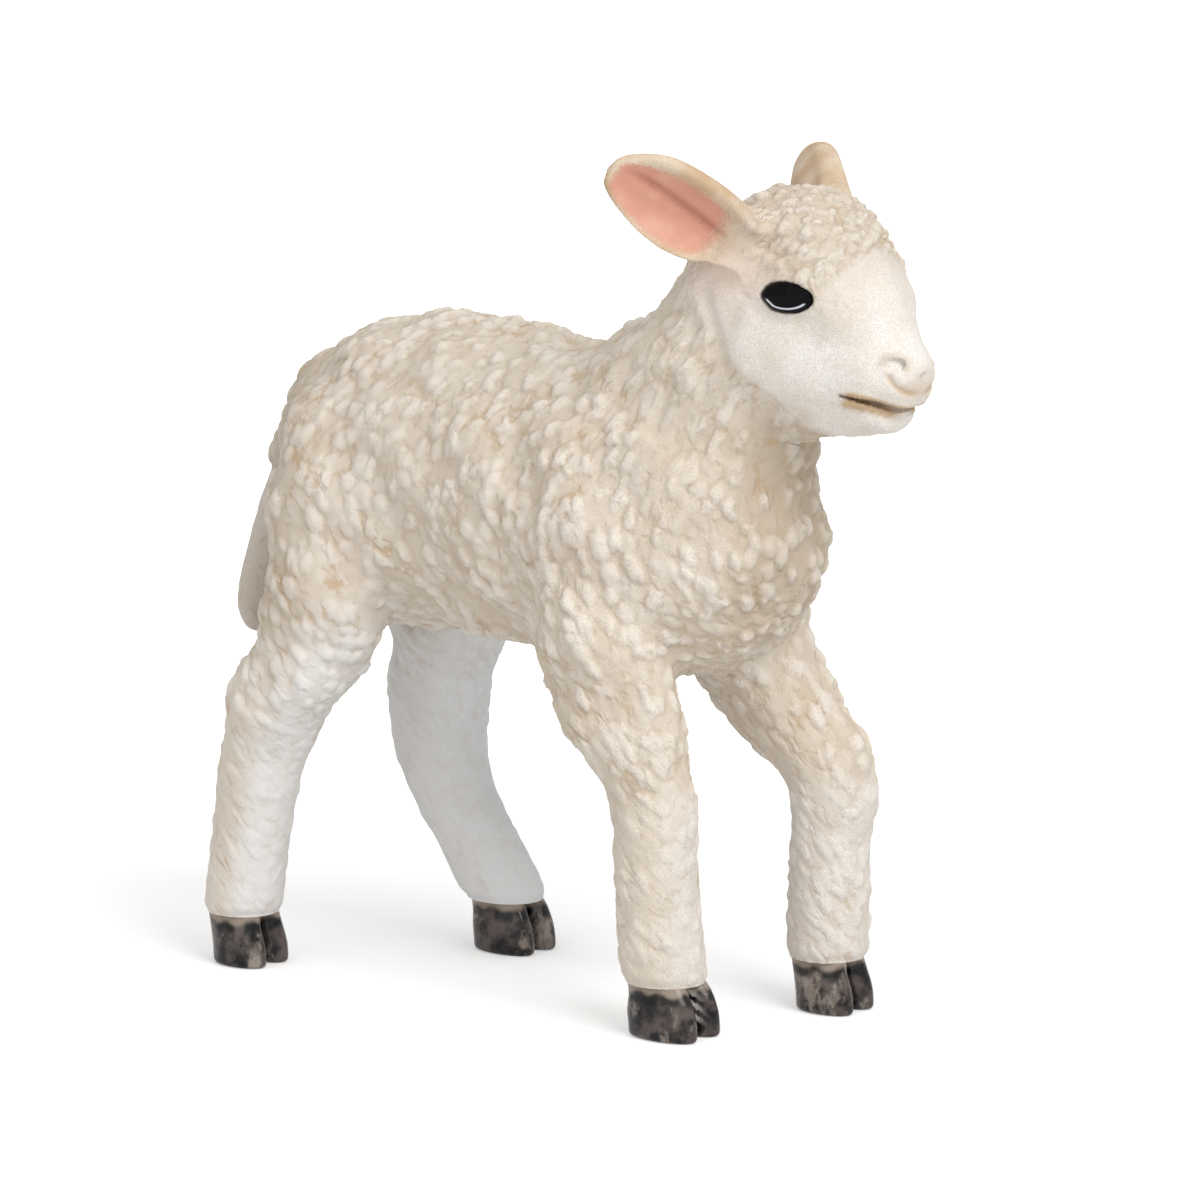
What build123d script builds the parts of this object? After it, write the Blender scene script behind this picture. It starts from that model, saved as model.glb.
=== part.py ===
from build123d import *

# Lamb figurine in mid step, as moulded pieces that plug together on square keyed pegs.
# Millimetres. The lamb looks along +X, its left side is +Y, and its hooves stand on z = 0.
# It is modelled from its rump at x = 0, and the finished pieces are then moved together, so
# that the origin lies on the ground under the centre of the figurine's overall box.

import os
from math import cos, radians, sin, tau

# Trunk
BODY_LENGTH = 53.5
BODY_DEPTH = 26.2
BODY_WIDTH = 20.6
BELLY_HEIGHT = 28.2

# Fleece: how far its locks stand out, how far apart they are, and where it ends on the legs
LOCK_RELIEF = 0.25
LOCK_SPACING = 9.0
FLEECE_HEM = 14.0
FLEECE_FADE = 8.0

# Neck and head
NECK_LENGTH = 22.0
NECK_WIDTH = 15.0
NECK_DEPTH = 19.0
HEAD_LENGTH = 23.0
HEAD_WIDTH = 13.6
HEAD_DEPTH = 19.3
HEAD_PITCH = 30.0

# Face
EYE_LENGTH = 4.8
EYE_HEIGHT = 2.6
EYE_DEPTH = 2.0
EYE_BULGE = 0.7
EYE_CLEARANCE = 0.05
MOUTH_SLOPE = 16.0
MOUTH_LENGTH = 4.8
MOUTH_GAPE = 0.5
MOUTH_TONGUE_WIDTH = 4.0
MOUTH_GROOVE = 1.4
NOSTRIL_LENGTH = 1.4
NOSTRIL_HEIGHT = 0.8
NOSTRIL_DEPTH = 0.9

# Ears
EAR_LENGTH = 12.0
EAR_WIDTH = 6.8
EAR_THICKNESS = 2.8
EAR_WALL = 1.0

# Tail
TAIL_LENGTH = 21.0
TAIL_WIDTH = 5.8
TAIL_THICKNESS = 3.4
TAIL_CLEARANCE = 0.05

# Legs, with the distance between the left and right feet
FORE_TRACK = 15.0
HIND_TRACK = 17.0
LEG_THICKNESS = 6.6
SEAM_DROP = 3.6

# Hooves
HOOF_LENGTH = 7.2
HOOF_WIDTH = 6.4
HOOF_HEIGHT = 4.3
HOOF_TOE_REACH = 1.2
CLEFT_WIDTH = 0.7
CLEFT_DEPTH = 2.0

# Square pegs, by the side of their section and how far they stand out, and the room round them
LEG_PEG_SIDE = 3.0
LEG_PEG_LENGTH = 4.5
NECK_PEG_SIDE = 4.5
NECK_PEG_LENGTH = 6.0
HOOF_PEG_SIDE = 2.2
HOOF_PEG_LENGTH = 2.4
EAR_PEG_SIDE = 1.3
EAR_PEG_LENGTH = 2.4
TAIL_PEG_SIDE = 1.6
TAIL_PEG_LENGTH = 3.0
PEG_CLEARANCE = 0.1
PEG_END_GAP = 0.3

# How far a cutting shape runs past the face that it cuts
OVERRUN = 1.0

TRUNK_SIDES = 28
HEAD_SIDES = 24
LIMB_SIDES = 16
SMALL_SIDES = 12
BETWEEN_STATIONS = 3
LEFT = 1
RIGHT = -1


def between(before, start, end, after, share):
    """A value on the smooth curve from start to end, which passes through all four values."""
    bend = 2 * before - 5 * start + 4 * end - after
    twist = 3 * start - before - 3 * end + after
    return start + share / 2 * (end - before + share * (bend + share * twist))


def smooth(stations, steps):
    """The stations with steps - 1 more between each two, on a smooth curve through them."""
    padded = [stations[0], *stations, stations[-1]]
    result = []
    for before, start, end, after in zip(padded, padded[1:], padded[2:], padded[3:]):
        for step in range(steps):
            columns = zip(before, start, end, after)
            result.append(tuple(between(*column, step / steps) for column in columns))
    return [*result, stations[-1]]


def oval(plane, half_side, half_depth, sides):
    """The corners of an oval: half_side along the plane's x and half_depth along its y."""
    angles = [tau * step / sides for step in range(sides)]
    return [
        plane.from_local_coords((half_side * sin(angle), half_depth * cos(angle), 0))
        for angle in angles
    ]


def facet(*corners):
    """A flat face with these corners."""
    return Face(Wire.make_polygon(corners, close=True))


def skin(ovals, start_tip=None, end_tip=None):
    """A solid of flat facets through ovals in order, ended by a flat face or by a tip."""
    facets = []
    for index in range(len(ovals[0])):
        for lower, upper in zip(ovals, ovals[1:]):
            facets.append(facet(lower[index - 1], lower[index], upper[index]))
            facets.append(facet(lower[index - 1], upper[index], upper[index - 1]))
    for end, tip in ((ovals[0], start_tip), (ovals[-1], end_tip)):
        if tip is None:
            facets.append(facet(*end))
        else:
            facets += [facet(end[index - 1], end[index], tip) for index in range(len(end))]
    return Solid(Shell(facets))


def lock_rise(point):
    """How far the fleece stands out at a point, or lies in where this is less than zero."""
    x, y, z = (tau * value / LOCK_SPACING for value in point)
    wave = sin(x) * cos(y) + sin(y) * cos(z) + sin(z) * cos(x)
    growth = (point.Z - FLEECE_HEM) / FLEECE_FADE
    return LOCK_RELIEF * wave * min(max(growth, 0), 1)


def fleeced(corners, centre):
    """The corners of an oval, each moved away from its centre by the locks of the fleece."""
    return [corner + (corner - centre).normalized() * lock_rise(corner) for corner in corners]


def limb(stations, sides, start_tip=None, end_tip=None, woolly=True):
    """A limb through stations (x, y, z, half side, half depth), each square to its path."""
    stations = smooth(stations, BETWEEN_STATIONS)
    ovals = []
    for index, (x, y, z, half_side, half_depth) in enumerate(stations):
        before = stations[max(index - 1, 0)]
        after = stations[min(index + 1, len(stations) - 1)]
        heading = (after[0] - before[0], 0, after[2] - before[2])
        plane = Plane(origin=(x, y, z), x_dir=(0, 1, 0), z_dir=heading)
        corners = oval(plane, half_side, half_depth, sides)
        ovals.append(fleeced(corners, plane.origin) if woolly else corners)
    return skin(ovals, start_tip, end_tip)


def square_peg(plane, side, length, overlap):
    """A peg on the plane's z axis, from overlap behind its origin to length past it."""
    return plane.offset(-overlap) * Box(
        side, side, length + overlap, align=(Align.CENTER, Align.CENTER, Align.MIN)
    )


def peg_hole(plane, side, length):
    """The hole that takes a peg, with the clearance all round and the gap at its end."""
    return square_peg(plane, side + 2 * PEG_CLEARANCE, length + PEG_END_GAP, OVERRUN)


def keep_side(solid, plane):
    """The part of the solid on the side that the plane's z axis points to."""
    return split(solid, bisect_by=plane, keep=Keep.TOP)


def trunk_height(height_share):
    """A height by share: 0 is the ground, 1 the belly and 2 the back."""
    if height_share < 1:
        return height_share * BELLY_HEIGHT
    return BELLY_HEIGHT + (height_share - 1) * BODY_DEPTH


# Trunk, from rump to breast: forward in body lengths, height share of the middle, half side in
# body widths and half depth in body depths
trunk_shares = [
    (0.062, 1.450, 0.100, 0.190),
    (0.094, 1.455, 0.180, 0.265),
    (0.132, 1.460, 0.245, 0.335),
    (0.175, 1.468, 0.340, 0.395),
    (0.230, 1.480, 0.420, 0.445),
    (0.310, 1.495, 0.470, 0.490),
    (0.420, 1.510, 0.460, 0.505),
    (0.550, 1.490, 0.465, 0.495),
    (0.680, 1.451, 0.490, 0.481),
    (0.790, 1.430, 0.490, 0.470),
    (0.880, 1.430, 0.455, 0.445),
    (0.955, 1.430, 0.370, 0.360),
    (1.005, 1.440, 0.260, 0.245),
]
rump_tip_forward_share = 0.045
rump_tip_height_share = 1.45
breast_tip_forward_share = 1.035
breast_tip_height_share = 1.45


def make_trunk():
    """The barrel of the body."""
    stations = [
        (
            forward * BODY_LENGTH,
            0,
            trunk_height(height),
            side * BODY_WIDTH,
            depth * BODY_DEPTH,
        )
        for forward, height, side, depth in trunk_shares
    ]
    rump_tip = (rump_tip_forward_share * BODY_LENGTH, 0, trunk_height(rump_tip_height_share))
    breast_tip = (breast_tip_forward_share * BODY_LENGTH, 0, trunk_height(breast_tip_height_share))
    return limb(stations, TRUNK_SIDES, rump_tip, breast_tip)


# Neck, from between the shoulders to inside the skull: forward and up in neck lengths from its
# root, half side in neck widths and half depth in neck depths
neck_root_forward_share = 0.720
neck_root_height_share = 1.50
neck_shares = [
    (0.000, 0.00, 0.540, 0.580),
    (0.220, 0.24, 0.515, 0.520),
    (0.420, 0.44, 0.480, 0.435),
    (0.515, 0.64, 0.455, 0.365),
    (0.570, 0.85, 0.400, 0.320),
]
neck_root = (neck_root_forward_share * BODY_LENGTH, 0, trunk_height(neck_root_height_share))


def neck_point(forward_share, up_share):
    """A point in the middle plane of the neck."""
    return (
        neck_root[0] + forward_share * NECK_LENGTH,
        0,
        neck_root[2] + up_share * NECK_LENGTH,
    )


def make_neck():
    """The neck, which runs from inside the trunk to inside the skull."""
    stations = [
        (*neck_point(forward, up), side * NECK_WIDTH, depth * NECK_DEPTH)
        for forward, up, side, depth in neck_shares
    ]
    return limb(stations, TRUNK_SIDES)


# The flat seam between torso and head, square to the neck below the jaw
neck_seam_shares = (0.43, 0.475)
neck_seam_heading_shares = (0.50, 0.87)


def neck_seam_plane():
    """The seam's plane, which faces up the neck."""
    heading = (neck_seam_heading_shares[0], 0, neck_seam_heading_shares[1])
    return Plane(origin=neck_point(*neck_seam_shares), x_dir=(0, 1, 0), z_dir=heading)


# Head, from the back of the skull to the lips: along the head and above its axis in head
# lengths, half side in head widths and half depth in head depths
skull_back_shares = (0.385, 0.94)
head_shares = [
    (0.013, 0.020, 0.265, 0.233),
    (0.087, 0.007, 0.400, 0.373),
    (0.196, 0.010, 0.475, 0.460),
    (0.348, 0.022, 0.500, 0.515),
    (0.500, 0.018, 0.500, 0.505),
    (0.630, 0.012, 0.440, 0.435),
    (0.740, 0.000, 0.360, 0.325),
    (0.840, -0.002, 0.300, 0.225),
    (0.925, 0.000, 0.220, 0.145),
]
nose_tip_share = 0.975


def head_plane(along_share, above_share=0, side_share=0):
    """A plane across the head at a point given in head lengths and head widths."""
    forward = (cos(radians(HEAD_PITCH)), 0, -sin(radians(HEAD_PITCH)))
    skull_back = Plane(origin=neck_point(*skull_back_shares), x_dir=(0, 1, 0), z_dir=forward)
    place = (side_share * HEAD_WIDTH, above_share * HEAD_LENGTH, along_share * HEAD_LENGTH)
    origin = skull_back.from_local_coords(place)
    return Plane(origin=origin, x_dir=(0, 1, 0), z_dir=forward)


def make_skull():
    """The head without ears, eyes or mouth."""
    ovals = [
        oval(head_plane(along, above), side * HEAD_WIDTH, depth * HEAD_DEPTH, HEAD_SIDES)
        for along, above, side, depth in smooth(head_shares, BETWEEN_STATIONS)
    ]
    back = head_plane(0, head_shares[0][1]).origin
    tip = head_plane(nose_tip_share, head_shares[-1][1]).origin
    return skin(ovals, back, tip)


# Mouth: a flat slit from the lips back, on the lower part of the muzzle
mouth_front_shares = (0.975, -0.020)


def mouth_slit():
    """The gap between the lips."""
    plane = head_plane(*mouth_front_shares)
    slit = Box(
        HEAD_WIDTH,
        MOUTH_GAPE,
        MOUTH_LENGTH + OVERRUN,
        align=(Align.CENTER, Align.CENTER, Align.MAX),
    )
    tongue = Pos(0, 0, -OVERRUN - MOUTH_GROOVE) * Box(
        MOUTH_TONGUE_WIDTH,
        MOUTH_GAPE,
        MOUTH_LENGTH,
        align=(Align.CENTER, Align.CENTER, Align.MAX),
    )
    return plane * Pos(0, 0, OVERRUN) * Rot(X=-MOUTH_SLOPE) * (slit - tongue)


# Nostrils: along the head, above its axis and to the side
nostril_shares = (0.885, 0.120, 0.160)
nostril_heading_shares = (0.75, 0.50, 0.45)


def nostril_pit(side):
    """A shallow slanted pit in one side of the nose."""
    along, above, beside = nostril_shares
    ahead, outward, upward = nostril_heading_shares
    centre = head_plane(along, above, side * beside).origin
    plane = Plane(origin=centre, x_dir=(0, 0, 1), z_dir=(ahead, side * outward, upward))
    half_length = NOSTRIL_LENGTH / 2
    half_height = NOSTRIL_HEIGHT / 2
    floor = oval(plane.offset(-NOSTRIL_DEPTH), half_height, half_length, SMALL_SIDES)
    rim = oval(plane.offset(OVERRUN), half_height, half_length, SMALL_SIDES)
    return skin([floor, rim])


# Eyes: along the head, above its axis and to the side, with the way that they look and the
# shares of their size from the back of the bead to its front
eye_shares = (0.490, 0.158, 0.440)
eye_heading_shares = (0.40, 0.90, 0.16)
eye_slant_shares = (0.90, -0.40, -0.28)
bead_shares = [
    (0.00, 0.80),
    (0.30, 0.96),
    (0.72, 1.00),
    (0.88, 0.82),
    (1.00, 0.42),
]


def eye_bead(side, room):
    """One eye bead, or its socket where room is more than zero."""
    along, above, beside = eye_shares
    ahead, outward, upward = eye_heading_shares
    centre = head_plane(along, above, side * beside).origin
    heading = Vector(ahead, side * outward, upward)
    slant = Vector(eye_slant_shares[0], side * eye_slant_shares[1], eye_slant_shares[2])
    plane = Plane(origin=centre, x_dir=slant, z_dir=heading)
    ovals = []
    for depth_share, size_share in bead_shares:
        rise = depth_share * (EYE_DEPTH + 2 * room) - room - EYE_DEPTH + EYE_BULGE
        half_length = size_share * EYE_LENGTH / 2 + room
        half_height = size_share * EYE_HEIGHT / 2 + room
        ovals.append(oval(plane.offset(rise), half_length, half_height, LIMB_SIDES))
    return skin(ovals)


# Ears: the place of the root on the head, the way that the blade points and the way that it
# opens, then stations from root to tip in ear lengths, ear widths and ear thicknesses. The left
# ear stands out further than the right one.
ear_root_shares = (0.220, 0.190, 0.450)
ear_heading_shares = {
    LEFT: (-0.65, 0.66, 0.38),
    RIGHT: (-0.68, -0.52, 0.52),
}
ear_opening_shares = {
    LEFT: (0.30, 0.93, -0.20),
    RIGHT: (0.57, -0.80, -0.06),
}
ear_stations_shares = [
    (-0.20, 0.26, 0.50),
    (0.06, 0.40, 0.56),
    (0.22, 0.47, 0.50),
    (0.42, 0.50, 0.42),
    (0.62, 0.48, 0.36),
    (0.80, 0.38, 0.28),
    (0.93, 0.22, 0.18),
]
ear_seam_share = 0.20
ear_hollow_start_share = 0.24
ear_hollow_end_share = 0.90


def ear_plane(side, along_share):
    """A plane across the ear, with its x along the ear's width and its y along its opening."""
    along, above, beside = ear_root_shares
    root = head_plane(along, above, side * beside).origin
    heading = Vector(ear_heading_shares[side])
    width = Vector(ear_opening_shares[side]).cross(heading)
    return Plane(origin=root, x_dir=width, z_dir=heading).offset(along_share * EAR_LENGTH)


def ear_blade(side):
    """The whole outer form of an ear, with a root that reaches into the head."""
    ovals = [
        oval(
            ear_plane(side, along),
            width * EAR_WIDTH,
            thickness * EAR_THICKNESS,
            LIMB_SIDES,
        )
        for along, width, thickness in smooth(ear_stations_shares, BETWEEN_STATIONS)
    ]
    return skin(ovals, end_tip=ear_plane(side, 1).origin)


def ear_hollow(side):
    """The cup of the ear, which leaves the wall at its back and rims."""
    ovals = []
    for along, width, thickness in smooth(ear_stations_shares, BETWEEN_STATIONS):
        if ear_hollow_start_share < along < ear_hollow_end_share:
            blade = ear_plane(side, along)
            lip = thickness * EAR_THICKNESS
            mouth = Plane(
                origin=blade.from_local_coords((0, lip, 0)),
                x_dir=blade.x_dir,
                z_dir=blade.z_dir,
            )
            half_width = width * EAR_WIDTH - EAR_WALL / 2
            ovals.append(oval(mouth, half_width, 2 * lip - EAR_WALL, LIMB_SIDES))
    return skin(ovals)


# Legs, from the ground up: forward in body lengths, height share, outward in half tracks, half
# side and half depth in leg thicknesses
fore_right_shares = [
    (0.894, 0.06, 1.00, 0.50, 0.54),
    (0.881, 0.32, 1.00, 0.51, 0.52),
    (0.870, 0.55, 1.00, 0.50, 0.51),
    (0.860, 0.72, 0.99, 0.53, 0.57),
    (0.826, 0.85, 0.98, 0.62, 0.69),
    (0.788, 0.98, 0.96, 0.71, 0.79),
    (0.770, 1.14, 0.92, 0.78, 0.86),
    (0.760, 1.32, 0.88, 0.76, 0.90),
    (0.757, 1.50, 0.84, 0.66, 0.78),
    (0.762, 1.66, 0.80, 0.46, 0.52),
]
fore_left_shares = [
    (0.984, 0.06, 1.00, 0.48, 0.49),
    (0.987, 0.30, 1.00, 0.50, 0.51),
    (0.991, 0.52, 1.00, 0.49, 0.50),
    (0.996, 0.61, 1.00, 0.50, 0.53),
    (0.978, 0.72, 1.00, 0.52, 0.57),
    (0.928, 0.83, 0.97, 0.60, 0.66),
    (0.876, 0.96, 0.91, 0.66, 0.75),
    (0.838, 1.13, 0.86, 0.72, 0.84),
    (0.815, 1.32, 0.83, 0.72, 0.88),
    (0.805, 1.50, 0.80, 0.64, 0.78),
    (0.800, 1.66, 0.78, 0.46, 0.52),
]
hind_right_shares = [
    (0.084, 0.06, 1.00, 0.46, 0.48),
    (0.094, 0.22, 1.00, 0.49, 0.50),
    (0.107, 0.38, 1.00, 0.47, 0.50),
    (0.122, 0.54, 1.00, 0.49, 0.53),
    (0.143, 0.70, 1.00, 0.53, 0.59),
    (0.177, 0.84, 0.99, 0.60, 0.68),
    (0.227, 0.96, 0.96, 0.65, 0.68),
    (0.243, 1.10, 0.90, 0.70, 0.77),
    (0.241, 1.28, 0.82, 0.71, 0.85),
    (0.236, 1.46, 0.77, 0.66, 0.80),
    (0.244, 1.64, 0.73, 0.46, 0.52),
]
hind_left_shares = [
    (0.371, 0.06, 1.00, 0.46, 0.49),
    (0.357, 0.15, 1.00, 0.47, 0.50),
    (0.323, 0.25, 1.00, 0.47, 0.50),
    (0.282, 0.36, 1.00, 0.47, 0.48),
    (0.246, 0.48, 1.00, 0.50, 0.54),
    (0.222, 0.62, 1.00, 0.56, 0.64),
    (0.230, 0.78, 1.00, 0.60, 0.68),
    (0.244, 0.92, 0.97, 0.66, 0.80),
    (0.252, 1.10, 0.90, 0.72, 1.00),
    (0.246, 1.28, 0.82, 0.74, 1.00),
    (0.242, 1.46, 0.77, 0.66, 0.80),
    (0.244, 1.64, 0.73, 0.46, 0.52),
]
legs = {
    "fore_left": (LEFT, FORE_TRACK, fore_left_shares),
    "fore_right": (RIGHT, FORE_TRACK, fore_right_shares),
    "hind_left": (LEFT, HIND_TRACK, hind_left_shares),
    "hind_right": (RIGHT, HIND_TRACK, hind_right_shares),
}
seam_height = BELLY_HEIGHT - SEAM_DROP


def leg_stations(side, track, shares):
    """The stations of one leg in millimetres."""
    return [
        (
            forward * BODY_LENGTH,
            side * outward * track / 2,
            trunk_height(height),
            half_side * LEG_THICKNESS,
            half_depth * LEG_THICKNESS,
        )
        for forward, height, outward, half_side, half_depth in shares
    ]


def leg_centre(stations, height):
    """The point where the leg's path crosses a height."""
    for lower, upper in zip(stations, stations[1:]):
        if lower[2] <= height <= upper[2]:
            share = (height - lower[2]) / (upper[2] - lower[2])
            return tuple(low + share * (high - low) for low, high in zip(lower[:3], upper[:3]))
    return stations[0][:3]


# Hoof, from the sole up: height in hoof heights, the share of the toe's reach, then half length
# and half width in hoof lengths and hoof widths
hoof_shares = [
    (0.00, 1.00, 0.460, 0.450),
    (0.12, 1.00, 0.500, 0.500),
    (0.55, 0.60, 0.460, 0.495),
    (1.00, 0.00, 0.400, 0.460),
]


def hoof_seat(stations):
    """The plane of a hoof's top, which faces down, on the end of its leg."""
    x, y, z = leg_centre(stations, HOOF_HEIGHT)
    return Plane(origin=(x, y, HOOF_HEIGHT), x_dir=(1, 0, 0), z_dir=(0, 0, -1))


def make_hoof(stations):
    """A cloven hoof with a hole for the peg of its leg."""
    x, y, z = leg_centre(stations, HOOF_HEIGHT)
    ovals = []
    for height, reach, length, width in hoof_shares:
        origin = (x + reach * HOOF_TOE_REACH, y, height * HOOF_HEIGHT)
        plane = Plane(origin=origin, x_dir=(0, 1, 0), z_dir=(0, 0, 1))
        ovals.append(oval(plane, width * HOOF_WIDTH, length * HOOF_LENGTH, LIMB_SIDES))
    toe = x + HOOF_TOE_REACH + HOOF_LENGTH / 2
    cleft = Pos(toe + OVERRUN, y, 0) * Box(
        CLEFT_DEPTH + OVERRUN,
        CLEFT_WIDTH,
        HOOF_HEIGHT,
        align=(Align.MAX, Align.CENTER, Align.MIN),
    )
    hole = peg_hole(hoof_seat(stations), HOOF_PEG_SIDE, HOOF_PEG_LENGTH)
    return skin(ovals) - cleft - hole


def leg_seam_plane(stations):
    """The plane of a leg's seam with the torso, which faces up."""
    x, y, z = leg_centre(stations, seam_height)
    return Plane(origin=(x, y, seam_height), x_dir=(1, 0, 0), z_dir=(0, 0, 1))


def make_leg(stations):
    """A leg from its hoof to its seam, with a peg at each end."""
    seam = leg_seam_plane(stations)
    seat = hoof_seat(stations)
    whole = limb(stations, LIMB_SIDES)
    shank = keep_side(keep_side(whole, -seam), -seat)
    shank += square_peg(seam, LEG_PEG_SIDE, LEG_PEG_LENGTH, OVERRUN)
    shank += square_peg(seat, HOOF_PEG_SIDE, HOOF_PEG_LENGTH, OVERRUN)
    return shank


def make_haunch(stations):
    """The top of a leg, which is moulded with the torso."""
    return keep_side(limb(stations, LIMB_SIDES), leg_seam_plane(stations))


# Tail, from its root on the rump down: back and down in tail lengths from the root, half width
# and half thickness in tail widths and tail thicknesses
tail_root_forward_share = 0.104
tail_root_height_share = 1.66
tail_shares = [
    (0.000, 0.00, 0.30, 0.34),
    (0.050, 0.12, 0.40, 0.44),
    (0.120, 0.30, 0.46, 0.50),
    (0.190, 0.50, 0.48, 0.50),
    (0.250, 0.69, 0.50, 0.50),
    (0.280, 0.83, 0.48, 0.48),
    (0.275, 0.92, 0.36, 0.36),
]
tail_tip_shares = (0.27, 0.97)


def tail_point(back_share, down_share):
    """A point in the middle plane of the tail."""
    return (
        tail_root_forward_share * BODY_LENGTH - back_share * TAIL_LENGTH,
        0,
        trunk_height(tail_root_height_share) - down_share * TAIL_LENGTH,
    )


def tail_form(room):
    """The tail, or the groove that it lies in where room is more than zero."""
    stations = [
        (*tail_point(back, down), width * TAIL_WIDTH + room, thickness * TAIL_THICKNESS + room)
        for back, down, width, thickness in tail_shares
    ]
    return limb(stations, SMALL_SIDES, end_tip=tail_point(*tail_tip_shares), woolly=False)


def tail_peg_plane():
    """The place of the tail's peg, which points forward into the rump."""
    back, down, width, thickness = tail_shares[2]
    return Plane(origin=tail_point(back, down), x_dir=(0, 1, 0), z_dir=(1, 0, 0))


def make_torso(leg_table):
    """Trunk, neck, shoulders and haunches in one moulding, with the holes for what plugs into it."""
    neck_base = keep_side(make_neck(), -neck_seam_plane())
    haunches = [make_haunch(stations) for stations in leg_table.values()]
    holes = [
        tail_form(TAIL_CLEARANCE),
        peg_hole(tail_peg_plane(), TAIL_PEG_SIDE, TAIL_PEG_LENGTH),
        peg_hole(-neck_seam_plane(), NECK_PEG_SIDE, NECK_PEG_LENGTH),
    ]
    for stations in leg_table.values():
        holes.append(peg_hole(leg_seam_plane(stations), LEG_PEG_SIDE, LEG_PEG_LENGTH))
    return make_trunk() + [neck_base] + haunches - holes


def make_head():
    """Skull and upper neck in one moulding, with mouth, nostrils, eye sockets and ear roots."""
    seam = neck_seam_plane()
    added = [
        keep_side(make_neck(), seam),
        square_peg(-seam, NECK_PEG_SIDE, NECK_PEG_LENGTH, OVERRUN),
    ]
    cut = [mouth_slit()]
    for side in (LEFT, RIGHT):
        ear_seam = ear_plane(side, ear_seam_share)
        added.append(keep_side(ear_blade(side), -ear_seam))
        cut.append(peg_hole(-ear_seam, EAR_PEG_SIDE, EAR_PEG_LENGTH))
        cut.append(eye_bead(side, EYE_CLEARANCE))
        cut.append(nostril_pit(side))
    return keep_side(make_skull(), seam) + added - cut


def make_ear(side):
    """An ear with its cup and the peg that plugs into the head."""
    seam = ear_plane(side, ear_seam_share)
    peg = square_peg(-seam, EAR_PEG_SIDE, EAR_PEG_LENGTH, OVERRUN)
    return keep_side(ear_blade(side), seam) - ear_hollow(side) + peg


def make_tail():
    """The tail with its peg, which stands on the side that lies against the rump."""
    return tail_form(0) + square_peg(tail_peg_plane(), TAIL_PEG_SIDE, TAIL_PEG_LENGTH, 0)


def make_pieces():
    """Every piece of the figurine by name."""
    leg_table = {name: leg_stations(*leg) for name, leg in legs.items()}
    pieces = {"torso": make_torso(leg_table), "head": make_head(), "tail": make_tail()}
    for name, stations in leg_table.items():
        position, hand = name.split("_")
        pieces[f"{position}leg_{hand}"] = make_leg(stations)
        pieces[f"hoof_{name}"] = make_hoof(stations)
    for side, hand in ((LEFT, "left"), (RIGHT, "right")):
        pieces[f"ear_{hand}"] = make_ear(side)
        pieces[f"eye_{hand}"] = eye_bead(side, 0)
    return pieces


def main():
    os.makedirs("parts", exist_ok=True)
    pieces = make_pieces()
    boxes = [piece.bounding_box() for piece in pieces.values()]
    middle_x = (min(box.min.X for box in boxes) + max(box.max.X for box in boxes)) / 2
    middle_y = (min(box.min.Y for box in boxes) + max(box.max.Y for box in boxes)) / 2
    for name, piece in pieces.items():
        export_step(Pos(-middle_x, -middle_y, 0) * piece, f"parts/{name}.step")


main()
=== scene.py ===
"""Painted lamb figurine in mid step.

Sizes in this file are millimetres in the lamb's own axes: x is the way it looks, y its left side
and z up, with the ground at zero.  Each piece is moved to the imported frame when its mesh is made.
"""

import logging
import math
from dataclasses import dataclass, field
from enum import Enum

import bmesh
import bpy
import numpy as np
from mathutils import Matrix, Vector


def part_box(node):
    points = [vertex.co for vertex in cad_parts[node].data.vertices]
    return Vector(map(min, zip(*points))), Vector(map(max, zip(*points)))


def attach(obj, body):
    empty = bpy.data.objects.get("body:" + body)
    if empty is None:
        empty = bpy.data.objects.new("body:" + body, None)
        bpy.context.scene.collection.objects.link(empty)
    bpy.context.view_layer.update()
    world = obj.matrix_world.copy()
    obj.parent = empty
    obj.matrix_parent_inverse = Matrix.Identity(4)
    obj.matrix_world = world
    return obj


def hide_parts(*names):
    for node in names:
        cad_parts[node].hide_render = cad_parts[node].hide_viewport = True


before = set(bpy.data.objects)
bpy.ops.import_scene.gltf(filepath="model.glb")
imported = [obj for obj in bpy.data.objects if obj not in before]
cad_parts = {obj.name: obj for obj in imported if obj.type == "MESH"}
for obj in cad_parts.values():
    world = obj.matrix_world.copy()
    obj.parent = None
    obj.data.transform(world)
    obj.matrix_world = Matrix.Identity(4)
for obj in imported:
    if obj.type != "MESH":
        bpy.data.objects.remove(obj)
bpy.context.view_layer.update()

LOG = logging.getLogger("lamb")
MM = 0.001
ACROSS = np.array((0.0, 1.0, 0.0))
EAR_BAND = 0.12
LOCK_SPACING, LOCK_RELIEF, LOCK_START = 9.0, 0.25, 37.0
LOCK_FOOT, LOCK_FADE = 14.0, 8.0
LEAN_SLOPE, LEAN_REACH, LEAN_HEIGHT = 0.6, 9.0, 41.0
LUMP_STRETCH = (1.05, 1.05, 1.45)
PLAIN_MARKS = ("face", "blush", "tan", "stain", "cup", "root", "fold")
Array = np.ndarray
Row = tuple[float, ...]
Socket = bpy.types.NodeSocket


# --- Places and small sums ---


class Side(Enum):
    """The lamb's left and right, by the sign of y."""

    LEFT = 1
    RIGHT = -1


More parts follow.
